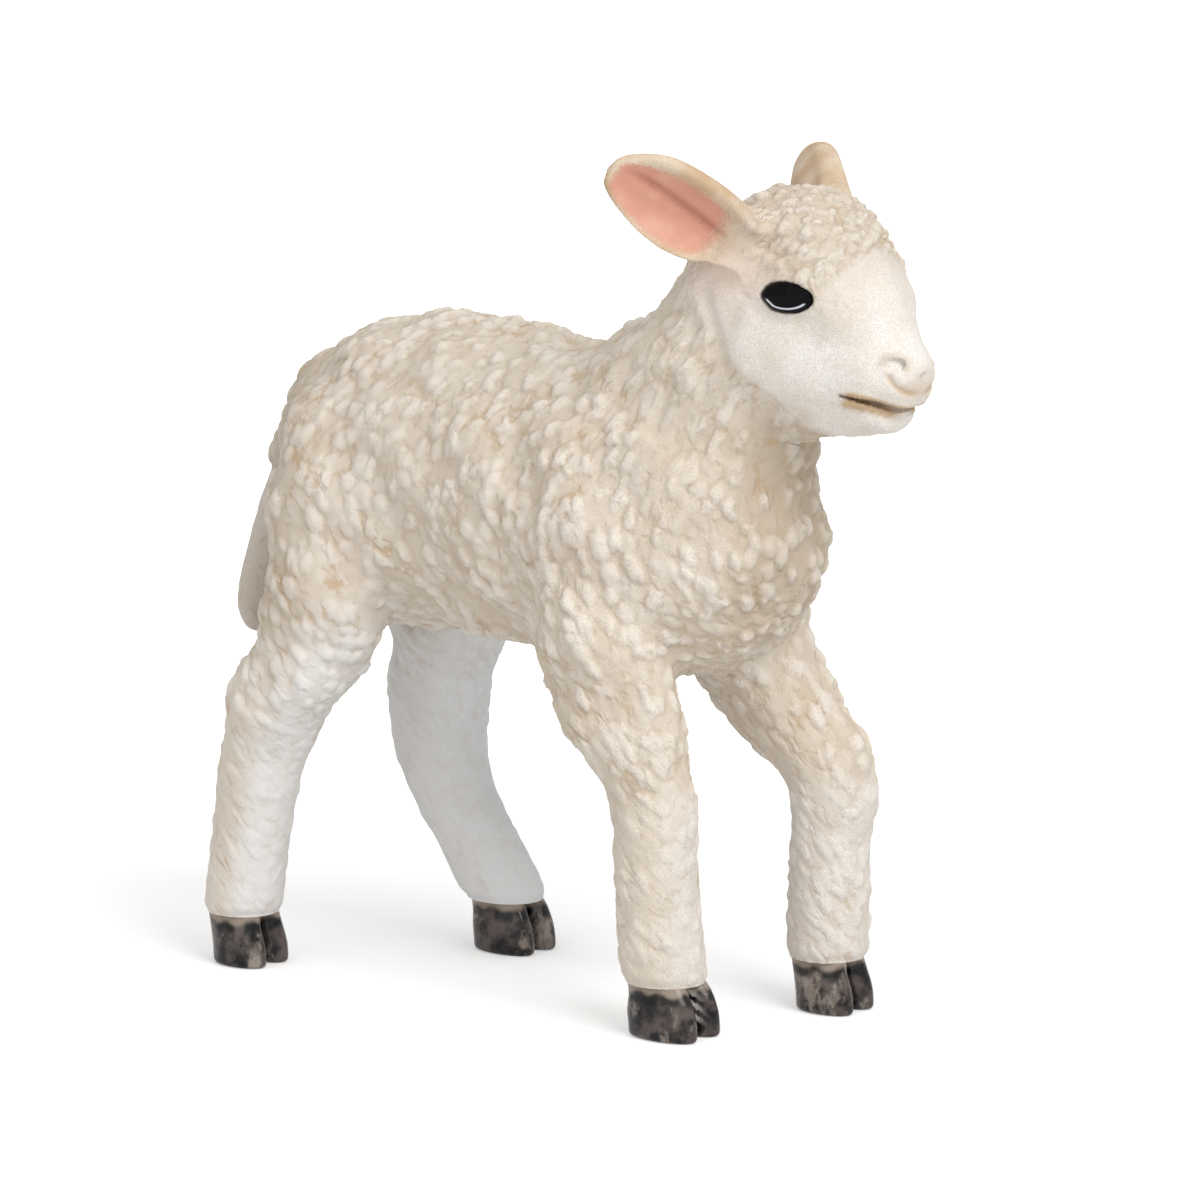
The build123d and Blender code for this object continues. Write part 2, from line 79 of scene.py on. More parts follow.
@dataclass(frozen=True)
class HeadAxes:
    """The head's own axes: along the muzzle, up from it and out to the side."""

    root: Row = (10.0, 0.0, 62.0)
    pitch: float = 30.0

    def place(self, along: float, up: float, out: float = 0.0) -> Row:
        """Gives a point in the lamb's axes.

        Args:
            along: distance along the muzzle from the back of the skull.
            up: distance above the muzzle's axis.
            out: distance to the lamb's left.

        Returns:
            The point as x, y and z.
        """
        c, s = math.cos(math.radians(self.pitch)), math.sin(math.radians(self.pitch))
        x, y, z = self.root
        return (x + along * c + up * s, y + out, z - along * s + up * c)

    def line(self, *rows: Row) -> tuple[Row, ...]:
        """Gives a path from rows of along, up and out."""
        return tuple(self.place(*row) for row in rows)

    def read(self, points: Array) -> tuple[Array, Array, Array]:
        """Gives the distances along, up and out of points, the reverse of place."""
        c, s = math.cos(math.radians(self.pitch)), math.sin(math.radians(self.pitch))
        x, z = points[:, 0] - self.root[0], points[:, 2] - self.root[2]
        return x * c - z * s, x * s + z * c, points[:, 1] - self.root[1]


HEAD = HeadAxes()


def ease(low: float, high: float, value: Array) -> Array:
    """Rises smoothly from 0 at low to 1 at high."""
    t = np.clip((value - low) / (high - low), 0.0, 1.0)
    return t * t * (3.0 - 2.0 * t)


def unit(vector: Array) -> Array:
    """Gives vectors of length one."""
    return vector / np.maximum(np.linalg.norm(vector, axis=-1, keepdims=True), 1e-9)


def curve(rows: Array, steps: int) -> Array:
    """Puts rows between an array's inner rows, on smooth curves through them.

    Args:
        rows: the array, whose first and last rows only give the curve its direction.
        steps: how many rows to make for each one.

    Returns:
        The rows, without the last one of the curve.
    """
    a, b, c, d = rows[:-3], rows[1:-2], rows[2:-1], rows[3:]
    out = []
    for k in range(steps):
        t = k / steps
        out.append(b + 0.5 * t * (c - a + t * (2 * a - 5 * b + 4 * c - d + t * (3 * (b - c) + d - a))))
    return np.stack(out, 1).reshape(-1, *rows.shape[1:])


def smooth_rows(rows: list[Row], steps: int = 3) -> Array:
    """Puts rows between the given ones, on a smooth curve through them.

    Args:
        rows: the rows that the curve passes through.
        steps: how many rows to make for each one.

    Returns:
        All the rows.
    """
    v = np.array(rows, float)
    return np.concatenate([curve(np.concatenate([v[:1], v, v[-1:]]), steps), v[-1:]])


# --- Clay: forms that melt together in a block of distances, and the skin round them ---


@dataclass
class Form:
    """A rounded form through oval stations of x, y, z, half side and half depth."""

    stations: list[Row]
    blend: float = 2.0
    caps: tuple[float, float] | None = None
    roundness: float = 1.0

    def __post_init__(self) -> None:
        """Smooths the stations once."""
        rows = self.stations
        self.rows = smooth_rows(rows) if len(rows) > 2 else np.array(rows, float)

    def box(self, margin: float) -> tuple[Array, Array]:
        """Gives the lowest and highest corner of the form with a margin."""
        reach = np.maximum(self.rows[:, 3], self.rows[:, 4])[:, None]
        return (self.rows[:, :3] - reach).min(0) - margin, (self.rows[:, :3] + reach).max(0) + margin

    def distance(self, points: Array) -> Array:
        """Gives each point's rough distance from the form's skin, below zero inside.

        Args:
            points: rows of x, y and z.

        Returns:
            One distance for each point.
        """
        best = np.full(len(points), 1e3)
        spans = np.linalg.norm(np.diff(self.rows[:, :3], axis=0), axis=1)
        done = np.concatenate([[0.0], np.cumsum(spans)])
        for index, (a, b) in enumerate(zip(self.rows, self.rows[1:])):
            run = b[:3] - a[:3]
            length = float(np.linalg.norm(run))
            heading = run / length
            across = unit(ACROSS - heading * (ACROSS @ heading))
            deep = np.cross(across, heading)
            local = points - a[:3]
            t = np.clip(local @ heading / length, 0.0, 1.0)
            local = local - t[:, None] * run
            half_side = a[3] + t * (b[3] - a[3])
            half_deep = a[4] + t * (b[4] - a[4])
            cap = self.roundness * np.minimum(half_side, half_deep)
            if self.caps is not None:
                first, last = self.caps[0] + done[index], self.caps[1] + done[-1] - done[index + 1]
                reach = np.where(t <= 0.0, first, last)
                cap = np.where((t <= 0.0) | (t >= 1.0), np.minimum(cap, reach), cap)
            s, d, h = (local @ across) / half_side, (local @ deep) / half_deep, (local @ heading) / cap
            r = np.sqrt(s * s + d * d + h * h)
            slope = np.sqrt((s / half_side) ** 2 + (d / half_deep) ** 2 + (h / cap) ** 2)
            best = np.minimum(best, (r - 1.0) * (r + 1e-3) / (slope + 1e-3 / cap))
        return best


class Block:
    """A block of distances on an even grid, which forms are added to and carved from."""

    far = 4.0

    def __init__(self, low: Row, high: Row, step: float) -> None:
        """Makes an empty block.

        Args:
            low: lowest corner.
            high: highest corner.
            step: distance between the grid's points.
        """
        self.low = np.array(low, float)
        self.step = step
        shape = np.ceil((np.array(high, float) - self.low) / step).astype(int) + 4
        self.values = np.full(tuple(shape), self.far)

    def _part(self, low: Array, high: Array) -> tuple[tuple[slice, ...], Array]:
        """Gives the part of the grid inside a box.

        Args:
            low: lowest corner of the box.
            high: highest corner of the box.

        Returns:
            The part as slices, and its points as rows.
        """
        shape = np.array(self.values.shape)
        start = np.clip(np.floor((low - self.low) / self.step).astype(int), 0, shape)
        stop = np.clip(np.ceil((high - self.low) / self.step).astype(int) + 1, 0, shape)
        axes = [self.low[i] + self.step * np.arange(start[i], stop[i]) for i in range(3)]
        grid = np.stack(np.meshgrid(*axes, indexing="ij"), -1).reshape(-1, 3)
        return tuple(slice(a, b) for a, b in zip(start, stop)), grid

    def add(self, form: "Form | Leaf") -> None:
        """Melts a form into what is there, with the form's blend as the width of the fillet.

        Args:
            form: the form.
        """
        part, points = self._part(*form.box(self.far))
        old = self.values[part]
        new = form.distance(points).reshape(old.shape)
        h = np.clip(0.5 + 0.5 * (old - new) / form.blend, 0.0, 1.0)
        self.values[part] = old + (new - old) * h - form.blend * h * (1.0 - h)

    def carve(self, form: "Form | Almond", depth: float = 1e3) -> None:
        """Takes a form away.

        Args:
            form: the form.
            depth: how deep below the skin it may cut.
        """
        part, points = self._part(*form.box(1.0))
        old = self.values[part]
        new = -np.maximum(form.distance(points).reshape(old.shape), -(old + depth))
        h = np.clip(0.5 - 0.5 * (old - new) / form.blend, 0.0, 1.0)
        self.values[part] = old + (new - old) * h + form.blend * h * (1.0 - h)

    def refine(self, factor: int) -> None:
        """Puts more points on smooth curves through the grid.

        Args:
            factor: how many points to make for each one.
        """
        for axis in range(3):
            self.values = np.moveaxis(curve(np.moveaxis(self.values, axis, 0), factor), 0, axis)
        self.low = self.low + self.step
        self.step /= factor

    def sample(self, points: Array) -> Array:
        """Reads the distance at any points inside the block.

        Args:
            points: rows of x, y and z.

        Returns:
            One distance for each point.
        """
        p = (points - self.low) / self.step
        base = np.clip(np.floor(p).astype(int), 0, np.array(self.values.shape) - 2)
        f = p - base
        i, j, k = base.T
        out = np.zeros(len(points))
        for a in (0, 1):
            for b in (0, 1):
                for c in (0, 1):
                    w = np.abs(1 - a - f[:, 0]) * np.abs(1 - b - f[:, 1]) * np.abs(1 - c - f[:, 2])
                    out += w * self.values[i + a, j + b, k + c]
        return out

    def skin(self) -> "Skin":
        """Finds the surface where the distance is zero.

        Returns:
            The surface, with a point in every cell that it crosses and four-sided faces.
        """
        v = self.values
        inside = v < 0.0
        n = np.array(v.shape) - 1
        count = np.zeros(tuple(n), np.int8)
        corners = [(a, b, c) for a in (0, 1) for b in (0, 1) for c in (0, 1)]
        for a, b, c in corners:
            count += inside[a : a + n[0], b : b + n[1], c : c + n[2]]
        active = (count > 0) & (count < 8)
        cells = np.argwhere(active)
        index = np.full(tuple(n), -1, np.int64)
        index[active] = np.arange(len(cells))
        total, hits = np.zeros((len(cells), 3)), np.zeros(len(cells))
        i, j, k = cells.T
        for p in corners:
            for axis in range(3):
                if p[axis]:
                    continue
                q = list(p)
                q[axis] = 1
                va, vb = v[i + p[0], j + p[1], k + p[2]], v[i + q[0], j + q[1], k + q[2]]
                cross = (va < 0) != (vb < 0)
                t = np.where(cross, va / np.where(cross, va - vb, 1.0), 0.0)
                spot = np.array(p, float) + t[:, None] * (np.array(q, float) - np.array(p, float))
                total += np.where(cross[:, None], spot, 0.0)
                hits += cross
        points = (cells + total / hits[:, None]) * self.step + self.low
        faces = []
        for axis in range(3):
            u, w = (axis + 1) % 3, (axis + 2) % 3
            lower, upper = [slice(None)] * 3, [slice(None)] * 3
            lower[axis], upper[axis] = slice(0, -1), slice(1, None)
            a, b = inside[tuple(lower)], inside[tuple(upper)]
            edges = np.argwhere(a != b)
            first, second = edges[:, u], edges[:, w]
            edges = edges[(first > 0) & (second > 0) & (first < n[u]) & (second < n[w])]
            outward = a[tuple(edges.T)]
            quad = []
            for du, dw in ((-1, -1), (0, -1), (0, 0), (-1, 0)):
                cell = edges.copy()
                cell[:, u] += du
                cell[:, w] += dw
                quad.append(index[tuple(cell.T)])
            quad = np.stack(quad, 1)
            quad[~outward] = quad[~outward][:, ::-1]
            faces.append(quad)
        skin = Skin(points, np.concatenate(faces))
        skin.settle(self)
        return skin


@dataclass
class Skin:
    """A surface of four-sided faces, with a mark for each of its points by name."""

    points: Array
    faces: Array
    marks: dict[str, Array] = field(default_factory=dict)

    def normals(self) -> Array:
        """Gives the smooth outward normal at each point."""
        p = self.points[self.faces]
        n = np.cross(p[:, 2] - p[:, 0], p[:, 3] - p[:, 1])
        out = np.zeros_like(self.points)
        for corner in range(4):
            for axis in range(3):
                out[:, axis] += np.bincount(self.faces[:, corner], n[:, axis], len(self.points))
        return unit(out)

    def relax(self, share: float) -> None:
        """Moves each point towards the middle of its neighbours.

        Args:
            share: how much of the way each point goes.
        """
        total, count = np.zeros_like(self.points), np.zeros(len(self.points))
        for corner in range(4):
            here, there = self.faces[:, corner], self.faces[:, (corner + 1) % 4]
            for a, b in ((here, there), (there, here)):
                count += np.bincount(a, minlength=len(self.points))
                for axis in range(3):
                    total[:, axis] += np.bincount(a, self.points[b, axis], len(self.points))
        self.points += share * (total / np.maximum(count, 1)[:, None] - self.points)

    def settle(self, block: Block, rounds: int = 2) -> None:
        """Evens out the faces and puts the points back on the block's surface.

        Args:
            block: the block that the surface was found in.
            rounds: how often to do both.
        """
        for _ in range(rounds):
            self.relax(0.5)
            h, p = 0.5 * block.step, self.points
            rises = [block.sample(p + h * e) - block.sample(p - h * e) for e in np.eye(3)]
            slope = np.stack(rises, 1) / (2 * h)
            value = block.sample(self.points)
            move = value[:, None] * slope / np.maximum((slope * slope).sum(1), 0.2)[:, None]
            self.points -= np.clip(move, -block.step, block.step)

    def blank(self, *names: str) -> None:
        """Sets marks to zero."""
        for name in names:
            self.marks[name] = np.zeros(len(self.points))

    def push(self, height: Array) -> None:
        """Moves each point along its normal."""
        self.points += height[:, None] * self.normals()


@dataclass(frozen=True)
class Stroke:
    """A line that is pressed into the surface or raised from it, by the sign of its height."""

    path: tuple[Row, ...]
    width: float
    height: float
    mirrored: bool = True
    across: float = 1.0

    def weight(self, points: Array) -> Array:
        """Gives how strongly each point feels the stroke.

        Args:
            points: rows of x, y and z.

        Returns:
            A weight from 0 to 1 for each point.
        """
        p = points.copy()
        if self.mirrored:
            p[:, 1] = -np.abs(p[:, 1])
        rows = smooth_rows(list(self.path), 4) if len(self.path) > 2 else np.array(self.path)
        p, rows = p * (1.0, self.across, 1.0), rows * (1.0, self.across, 1.0)
        best = np.full(len(p), 1e3)
        for a, b in zip(rows, rows[1:]):
            run = b - a
            t = np.clip((p - a) @ run / (run @ run), 0.0, 1.0)
            best = np.minimum(best, np.linalg.norm(p - a - t[:, None] * run, axis=1))
        return np.exp(-((best / self.width) ** 2))

    def apply(self, skin: Skin) -> Array:
        """Presses or raises the skin.

        Args:
            skin: the surface.

        Returns:
            The stroke's weight at each point.
        """
        weight = self.weight(skin.points)
        skin.push(self.height * weight)
        return weight


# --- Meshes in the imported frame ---


def frame_shift() -> Array:
    """Gives the step in millimetres from the lamb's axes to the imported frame, read from a hoof."""
    low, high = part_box("hoof_fore_right")
    middle = (np.array(low) + np.array(high)) / 2 / MM
    return np.array([middle[0] - 11.583, middle[1] + 7.5, 0.0])


SHIFT = frame_shift()


def mesh_object(name: str, skin: Skin) -> bpy.types.Object:
    """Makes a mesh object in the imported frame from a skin, with its marks as attributes.

    Args:
        name: the object's name.
        skin: the surface in millimetres.

    Returns:
        The new object, linked to the scene.
    """
    mesh = bpy.data.meshes.new(name)
    faces = skin.faces
    mesh.vertices.add(len(skin.points))
    mesh.vertices.foreach_set("co", ((skin.points + SHIFT) * MM).astype(np.float32).ravel())
    mesh.loops.add(faces.size)
    mesh.loops.foreach_set("vertex_index", faces.astype(np.int32).ravel())
    mesh.polygons.add(len(faces))
    mesh.polygons.foreach_set("loop_start", np.arange(0, faces.size, faces.shape[1], dtype=np.int32))
    mesh.update(calc_edges=True)
    for key, values in skin.marks.items():
        kind, slot = ("FLOAT_VECTOR", "vector") if values.ndim == 2 else ("FLOAT", "value")
        mesh.attributes.new(key, kind, "POINT").data.foreach_set(slot, values.astype(np.float32).ravel())
    obj = bpy.data.objects.new(name, mesh)
    bpy.context.scene.collection.objects.link(obj)
    return obj


def to_skin(mesh: bpy.types.Mesh) -> Skin:
    """Reads a mesh of four-sided faces back as a skin in millimetres, without its marks."""
    points = np.empty(len(mesh.vertices) * 3, np.float32)
    mesh.vertices.foreach_get("co", points)
    loops = np.empty(len(mesh.loops), np.int32)
    mesh.loops.foreach_get("vertex_index", loops)
    return Skin(points.reshape(-1, 3).astype(float) / MM - SHIFT, loops.reshape(-1, 4))


def keep_normals(mesh: bpy.types.Mesh) -> None:
    """Stores the sculpt's own normals on a mesh, for the pieces that are cut from it."""
    normals = to_skin(mesh).normals().astype(np.float32)
    mesh.attributes.new("turn", "FLOAT_VECTOR", "POINT").data.foreach_set("vector", normals.ravel())


@dataclass(frozen=True)
class Cut:
    """A flat seam: what lies on the side that the normal points to is cut off."""

    point: Row
    normal: Row

    def turned(self) -> "Cut":
        """Gives the same seam with its other side cut off."""
        return Cut(self.point, tuple(-n for n in self.normal))


NECK_SEAM = Cut((10.98, 0.0, 51.75), (0.5, 0.0, 0.866))
LEG_SEAM = Cut((0.0, 0.0, 24.6), (0.0, 0.0, 1.0))
HOOF_SEAM = Cut((0.0, 0.0, 4.3), (0.0, 0.0, 1.0))


class Trimmer:
    """Cuts a sculpted mesh at flat seams, closes each cut, and keeps the sculpt's own normals."""

    def __init__(self, mesh: bpy.types.Mesh) -> None:
        """Opens a mesh for cutting, with its normals stored.

        Args:
            mesh: the mesh.
        """
        self.mesh = mesh
        if "turn" not in mesh.attributes:
            keep_normals(mesh)
        self.work = bmesh.new()
        self.work.from_mesh(mesh)
        self.caps: list[bmesh.types.BMFace] = []

    def centres(self) -> Array:
        """Gives the middle of every face in the lamb's axes."""
        rows = [tuple(face.calc_center_median()) for face in self.work.faces]
        return np.array(rows) / MM - SHIFT

    def bisect(self, cut: Cut, faces: list, clear: bool) -> None:
        """Splits faces along a cut.

        Args:
            cut: the seam.
            faces: the faces to split.
            clear: whether to clear what lies past the seam.
        """
        edges = {edge for face in faces for edge in face.edges}
        verts = {vert for face in faces for vert in face.verts}
        bmesh.ops.bisect_plane(
            self.work, geom=[*faces, *edges, *verts], dist=1e-7, clear_outer=clear,
            plane_co=Vector((np.array(cut.point) + SHIFT) * MM), plane_no=Vector(cut.normal),
        )

    def close(self) -> None:
        """Closes every open edge with a flat face."""
        open_edges = [edge for edge in self.work.edges if edge.is_boundary]
        self.caps += bmesh.ops.holes_fill(self.work, edges=open_edges, sides=0)["faces"]

    def cut(self, cut: Cut) -> None:
        """Cuts off everything on the side that the cut's normal points to."""
        self.bisect(cut, list(self.work.faces), True)
        self.close()

    def part(self, ear: "Ear", keep_ear: bool) -> None:
        """Parts an ear from the head at its seam.

        Args:
            ear: the ear.
            keep_ear: whether to keep the ear, and not the head.
        """
        cut = ear.seam_cut()
        own, share = ear.owns(self.centres())
        faces = list(self.work.faces)
        band = np.nonzero(own & (np.abs(share - ear.seam) < EAR_BAND))[0]
        self.bisect(cut, [faces[i] for i in band], False)
        own, share = ear.owns(self.centres())
        drop = own & (share > ear.seam)
        if keep_ear:
            drop = ~drop
        faces = list(self.work.faces)
        bmesh.ops.delete(self.work, geom=[faces[i] for i in np.nonzero(drop)[0]], context="FACES")
        self.close()

    def clear_crumbs(self) -> None:
        """Removes every crumb that hangs loose from the largest surface."""
        left, islands = set(self.work.verts), []
        while left:
            island, front = set(), [next(iter(left))]
            left.discard(front[0])
            while front:
                vert = front.pop()
                island.add(vert)
                for edge in vert.link_edges:
                    other = edge.other_vert(vert)
                    if other in left:
                        left.discard(other)
                        front.append(other)
            islands.append(island)
        islands.sort(key=len)
        crumbs = [vert for island in islands[:-1] for vert in island]
        bmesh.ops.delete(self.work, geom=crumbs, context="VERTS")

    def finish(self) -> None:
        """Writes the mesh back with smooth normals on the sculpt and flat ones on the cuts."""
        self.clear_crumbs()
        mesh = self.mesh
        self.work.faces.index_update()
        flat = [face.index for face in self.caps if face.is_valid]
        self.work.to_mesh(mesh)
        self.work.free()
        turn = np.empty(len(mesh.vertices) * 3, np.float32)
        mesh.attributes["turn"].data.foreach_get("vector", turn)
        turn = unit(turn.reshape(-1, 3))
        loops = np.empty(len(mesh.loops), np.int32)
        mesh.loops.foreach_get("vertex_index", loops)
        loop_normals = turn[loops]
        for index in flat:
            face = mesh.polygons[index]
            loop_normals[face.loop_start : face.loop_start + face.loop_total] = face.normal
        mesh.polygons.foreach_set("use_smooth", np.ones(len(mesh.polygons), bool))
        mesh.attributes.remove(mesh.attributes["turn"])
        mesh.normals_split_custom_set([tuple(n) for n in loop_normals])
        mesh.update()


def smooth_piece(obj: bpy.types.Object) -> None:
    """Shades a closed mesh smoothly."""
    obj.data.polygons.foreach_set("use_smooth", np.ones(len(obj.data.polygons), bool))
    obj.data.update()


def hand_over(obj: bpy.types.Object, node: str) -> None:
    """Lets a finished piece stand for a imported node.

    Args:
        obj: the finished piece.
        node: the node that it replaces.
    """
    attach(obj, "root")
    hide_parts(node)
    low, high = np.array(obj.bound_box).min(0) / MM, np.array(obj.bound_box).max(0) / MM
    LOG.info("%s: %d faces, %s to %s mm", obj.name, len(obj.data.polygons), low.round(1), high.round(1))


# --- Node trees ---


class Tree:
    """Places and joins nodes in one tree."""

    def __init__(self, tree: bpy.types.NodeTree) -> None:
        """Works on an empty tree."""
        self.tree = tree

    def add(self, kind: str, settings: dict | None = None, inputs: dict | None = None) -> bpy.types.Node:
        """Places a node.

        Args:
            kind: the node's type.
            settings: its properties.
            inputs: a value or another node's socket for each input, by name or number.

        Returns:
            The node.
        """
        node = self.tree.nodes.new(kind)
        for name, value in (settings or {}).items():
            setattr(node, name, value)
        self.feed(node, inputs or {})
        return node

    def feed(self, node: bpy.types.Node, inputs: dict) -> None:
        """Gives a node's inputs their values, or joins them to other nodes' sockets."""
        for key, value in inputs.items():
            if isinstance(value, Socket):
                self.tree.links.new(value, node.inputs[key])
            else:
                node.inputs[key].default_value = value

    def math(self, operation: str, a: object, b: object = 0.0, c: object = 0.0) -> Socket:
        """Places a math node and gives its output."""
        return self.add("ShaderNodeMath", {"operation": operation}, {0: a, 1: b, 2: c}).outputs[0]

    def product(self, *factors: object) -> Socket:
        """Multiplies two or more values."""
        result = factors[0]
        for factor in factors[1:]:
            result = self.math("MULTIPLY", result, factor)
        return result

    def vector(self, operation: str, inputs: dict) -> Socket:
        """Places a vector math node and gives its vector."""
        return self.add("ShaderNodeVectorMath", {"operation": operation}, inputs).outputs[0]

    def ramp(self, value: object, low: float, high: float, start: float = 0.0, end: float = 1.0) -> Socket:
        """Maps low to start and high to end with a smooth step."""
        return self.add(
            "ShaderNodeMapRange", {"interpolation_type": "SMOOTHSTEP"},
            {0: value, 1: low, 2: high, 3: start, 4: end},
        ).outputs[0]

    def mix(self, share: object, a: object, b: object) -> Socket:
        """Mixes two colours and gives the result."""
        return self.add("ShaderNodeMix", {"data_type": "RGBA"}, {0: share, 6: a, 7: b}).outputs[2]

    def noise(self, where: object, scale: object, detail: float, rough: float) -> Socket:
        """Places a noise texture and gives its value."""
        inputs = {"Vector": where, "Scale": scale, "Detail": detail, "Roughness": rough}
        return self.add("ShaderNodeTexNoise", {}, inputs).outputs[0]

    def bump(self, height: object, strength: float, distance: float) -> Socket:
        """Turns a height into a normal."""
        inputs = {"Strength": strength, "Distance": distance, "Height": height}
        return self.add("ShaderNodeBump", {}, inputs).outputs[0]

    def ragged(self, lay: Socket) -> Socket:
        """Moves places off in broad drifts and small steps, so that the wool's lumps lie unevenly."""
        place = lay
        for scale, reach in ((0.45, 0.7), (1.3, 0.9)):
            wave = self.add("ShaderNodeTexNoise", {}, {"Vector": lay, "Scale": scale, "Detail": 2.0})
            step = self.vector("SCALE", {0: wave.outputs["Color"], "Scale": reach})
            place = self.vector("ADD", {0: place, 1: step})
        return place

    def seen(self) -> Socket:
        """Gives 1 where the camera, a reflection or a clear piece looks, and 0 for light."""
        rays = self.add("ShaderNodeLightPath").outputs
        through = self.math("MAXIMUM", rays["Is Glossy Ray"], rays["Is Transmission Ray"])
        return self.math("MAXIMUM", rays["Is Camera Ray"], through)

    def mark(self, name: str, output: str = "Fac") -> Socket:
        """Reads a mark of the mesh, as a number or as another output."""
        return self.add("ShaderNodeAttribute", {"attribute_name": name}).outputs[output]


NUMBER, VECTOR, COLOUR = "NodeSocketFloat", "NodeSocketVector", "NodeSocketColor"
Group = tuple[bpy.types.NodeTree, Tree, bpy.types.Node, bpy.types.Node]


def new_group(name: str, inputs: list[tuple[str, str, object]], outputs: list[tuple[str, str]]) -> Group:
    """Starts a shader group.

    Args:
        name: the group's name.
        inputs: name, socket type and first value of each input.
        outputs: name and socket type of each output.

    Returns:
        The group, its tree, its input node and its output node.
    """
    group = bpy.data.node_groups.new(name, "ShaderNodeTree")
    for label, kind, value in inputs:
        socket = group.interface.new_socket(name=label, in_out="INPUT", socket_type=kind)
        socket.default_value = value
    for label, kind in outputs:
        group.interface.new_socket(name=label, in_out="OUTPUT", socket_type=kind)
    tree = Tree(group)
    return group, tree, tree.add("NodeGroupInput"), tree.add("NodeGroupOutput")


def srgb(red: int, green: int, blue: int) -> tuple[float, float, float, float]:
    """Gives a colour of the photograph as the linear values that the shader takes."""
    def linear(value: float) -> float:
        """Undoes the display's curve for one channel."""
        v = value / 255.0
        return v / 12.92 if v <= 0.04045 else ((v + 0.055) / 1.055) ** 2.4
    return (linear(red), linear(green), linear(blue), 1.0)


class Effects:
    """Shader groups that more than one finish uses."""

    def __init__(self) -> None:
        """Builds each group once."""
        self.grain = self._grain()
        self.tint = self._tint()
        self.ear = self._ear()
        self.creases = self._creases()

    def _grain(self) -> bpy.types.NodeTree:
        """Builds the fine grain of sprayed matte paint."""
        group, tree, start, end = new_group(
            "Sprayed paint grain",
            [("Vector", VECTOR, (0, 0, 0)), ("Grain Size", NUMBER, 0.2), ("Depth", NUMBER, 1.0)],
            [("Speck", NUMBER), ("Height", NUMBER)],
        )
        scale = tree.math("DIVIDE", 1000.0, start.outputs["Grain Size"])
        fine = tree.noise(start.outputs["Vector"], scale, 2.0, 0.6)
        speck, height = tree.ramp(fine, 0.40, 0.62), tree.product(fine, start.outputs["Depth"])
        tree.feed(end, {"Speck": speck, "Height": height})
        return group

    def _tint(self) -> bpy.types.NodeTree:
        """Builds slow, uneven changes of colour over a painted surface."""
        group, tree, start, end = new_group(
            "Uneven tint",
            [("Vector", VECTOR, (0, 0, 0)), ("Patch Size", NUMBER, 6.0),
             ("Colour", COLOUR, (1, 1, 1, 1)), ("Other Colour", COLOUR, (1, 1, 1, 1))],
            [("Colour", COLOUR)],
        )
        scale = tree.math("DIVIDE", 1000.0, start.outputs["Patch Size"])
        patch = tree.ramp(tree.noise(start.outputs["Vector"], scale, 3.0, 0.55), 0.36, 0.66)
        tree.feed(end, {"Colour": tree.mix(patch, start.outputs["Colour"], start.outputs["Other Colour"])})
        return group

    def _creases(self) -> bpy.types.NodeTree:
        """Builds the thin broken creases round the lumps of wool."""
        group, tree, start, end = new_group(
            "Wool creases",
            [("Lay", VECTOR, (0, 0, 0)), ("Lump Width", NUMBER, 1.15)],
            [("Crease", NUMBER), ("Blot", NUMBER)],
        )
        lay = start.outputs["Lay"]
        scale = tree.math("DIVIDE", 1.0, start.outputs["Lump Width"])
        edge = tree.add(
            "ShaderNodeTexVoronoi", {"feature": "DISTANCE_TO_EDGE"},
            {"Vector": tree.ragged(lay), "Scale": scale, "Randomness": 1.0},
        ).outputs["Distance"]
        broken = tree.ramp(tree.noise(lay, 0.75, 3.0, 0.6), 0.44, 0.62)
        blot = tree.ramp(tree.noise(lay, 0.22, 3.0, 0.6), 0.48, 0.66)
        tree.feed(end, {"Crease": tree.product(tree.ramp(edge, 0.24, 0.0), broken), "Blot": blot})
        return group

    def _ear(self) -> bpy.types.NodeTree:
        """Builds the ear's paint: pink in the cup, a painted shade of darker pink along its fold, and cream
        behind.
        """
        group, tree, start, end = new_group(
            "Ear skin",
            [("Vector", VECTOR, (0, 0, 0)), ("Cup", NUMBER, 0.0), ("Fold", NUMBER, 0.0),
             ("Speck", NUMBER, 0.0), ("Cream", COLOUR, srgb(221, 205, 184)),
             ("Pink", COLOUR, srgb(212, 148, 130)), ("Pale Pink", COLOUR, srgb(224, 170, 151)),
             # The darker pink is painted shade along the fold.
             ("Shaded Pink", COLOUR, srgb(172, 106, 92)), ("Tan", COLOUR, srgb(198, 168, 134))],
            [("Colour", COLOUR)],
        )
        read = start.outputs
        inner = self.tinted(tree, read["Vector"], 3.5, read["Pink"], read["Pale Pink"])
        outer = self.tinted(tree, read["Vector"], 5.0, read["Cream"], read["Tan"])
        # Painted shade: darker pink along the fold under the upper rim.
        pink = tree.mix(tree.product(read["Fold"], 0.75), inner, read["Shaded Pink"])
        ragged = tree.math("MULTIPLY_ADD", tree.math("SUBTRACT", read["Speck"], 0.5), 0.35, read["Cup"])
        colour = tree.mix(tree.ramp(ragged, 0.10, 0.90), outer, pink)
        tree.feed(end, {"Colour": tree.mix(tree.product(read["Speck"], 0.34), colour, read["Tan"])})
        return group

    def place(self, tree: Tree, group: bpy.types.NodeTree, inputs: dict) -> bpy.types.bpy_prop_collection:
        """Places one of the groups in a tree and gives its outputs."""
        return tree.add("ShaderNodeGroup", {"node_tree": group}, inputs).outputs

    def tinted(self, tree: Tree, where: object, size: float, colour: object, other: object) -> Socket:
        """Gives a colour that changes to another in patches of a size."""
        inputs = {"Vector": where, "Patch Size": size, "Colour": colour, "Other Colour": other}
        return self.place(tree, self.tint, inputs)["Colour"]

    def grained(self, tree: Tree, where: object, size: float) -> bpy.types.bpy_prop_collection:
        """Gives the speck and the height of grain of a size."""
        return self.place(tree, self.grain, {"Vector": where, "Grain Size": size, "Depth": 1.0})

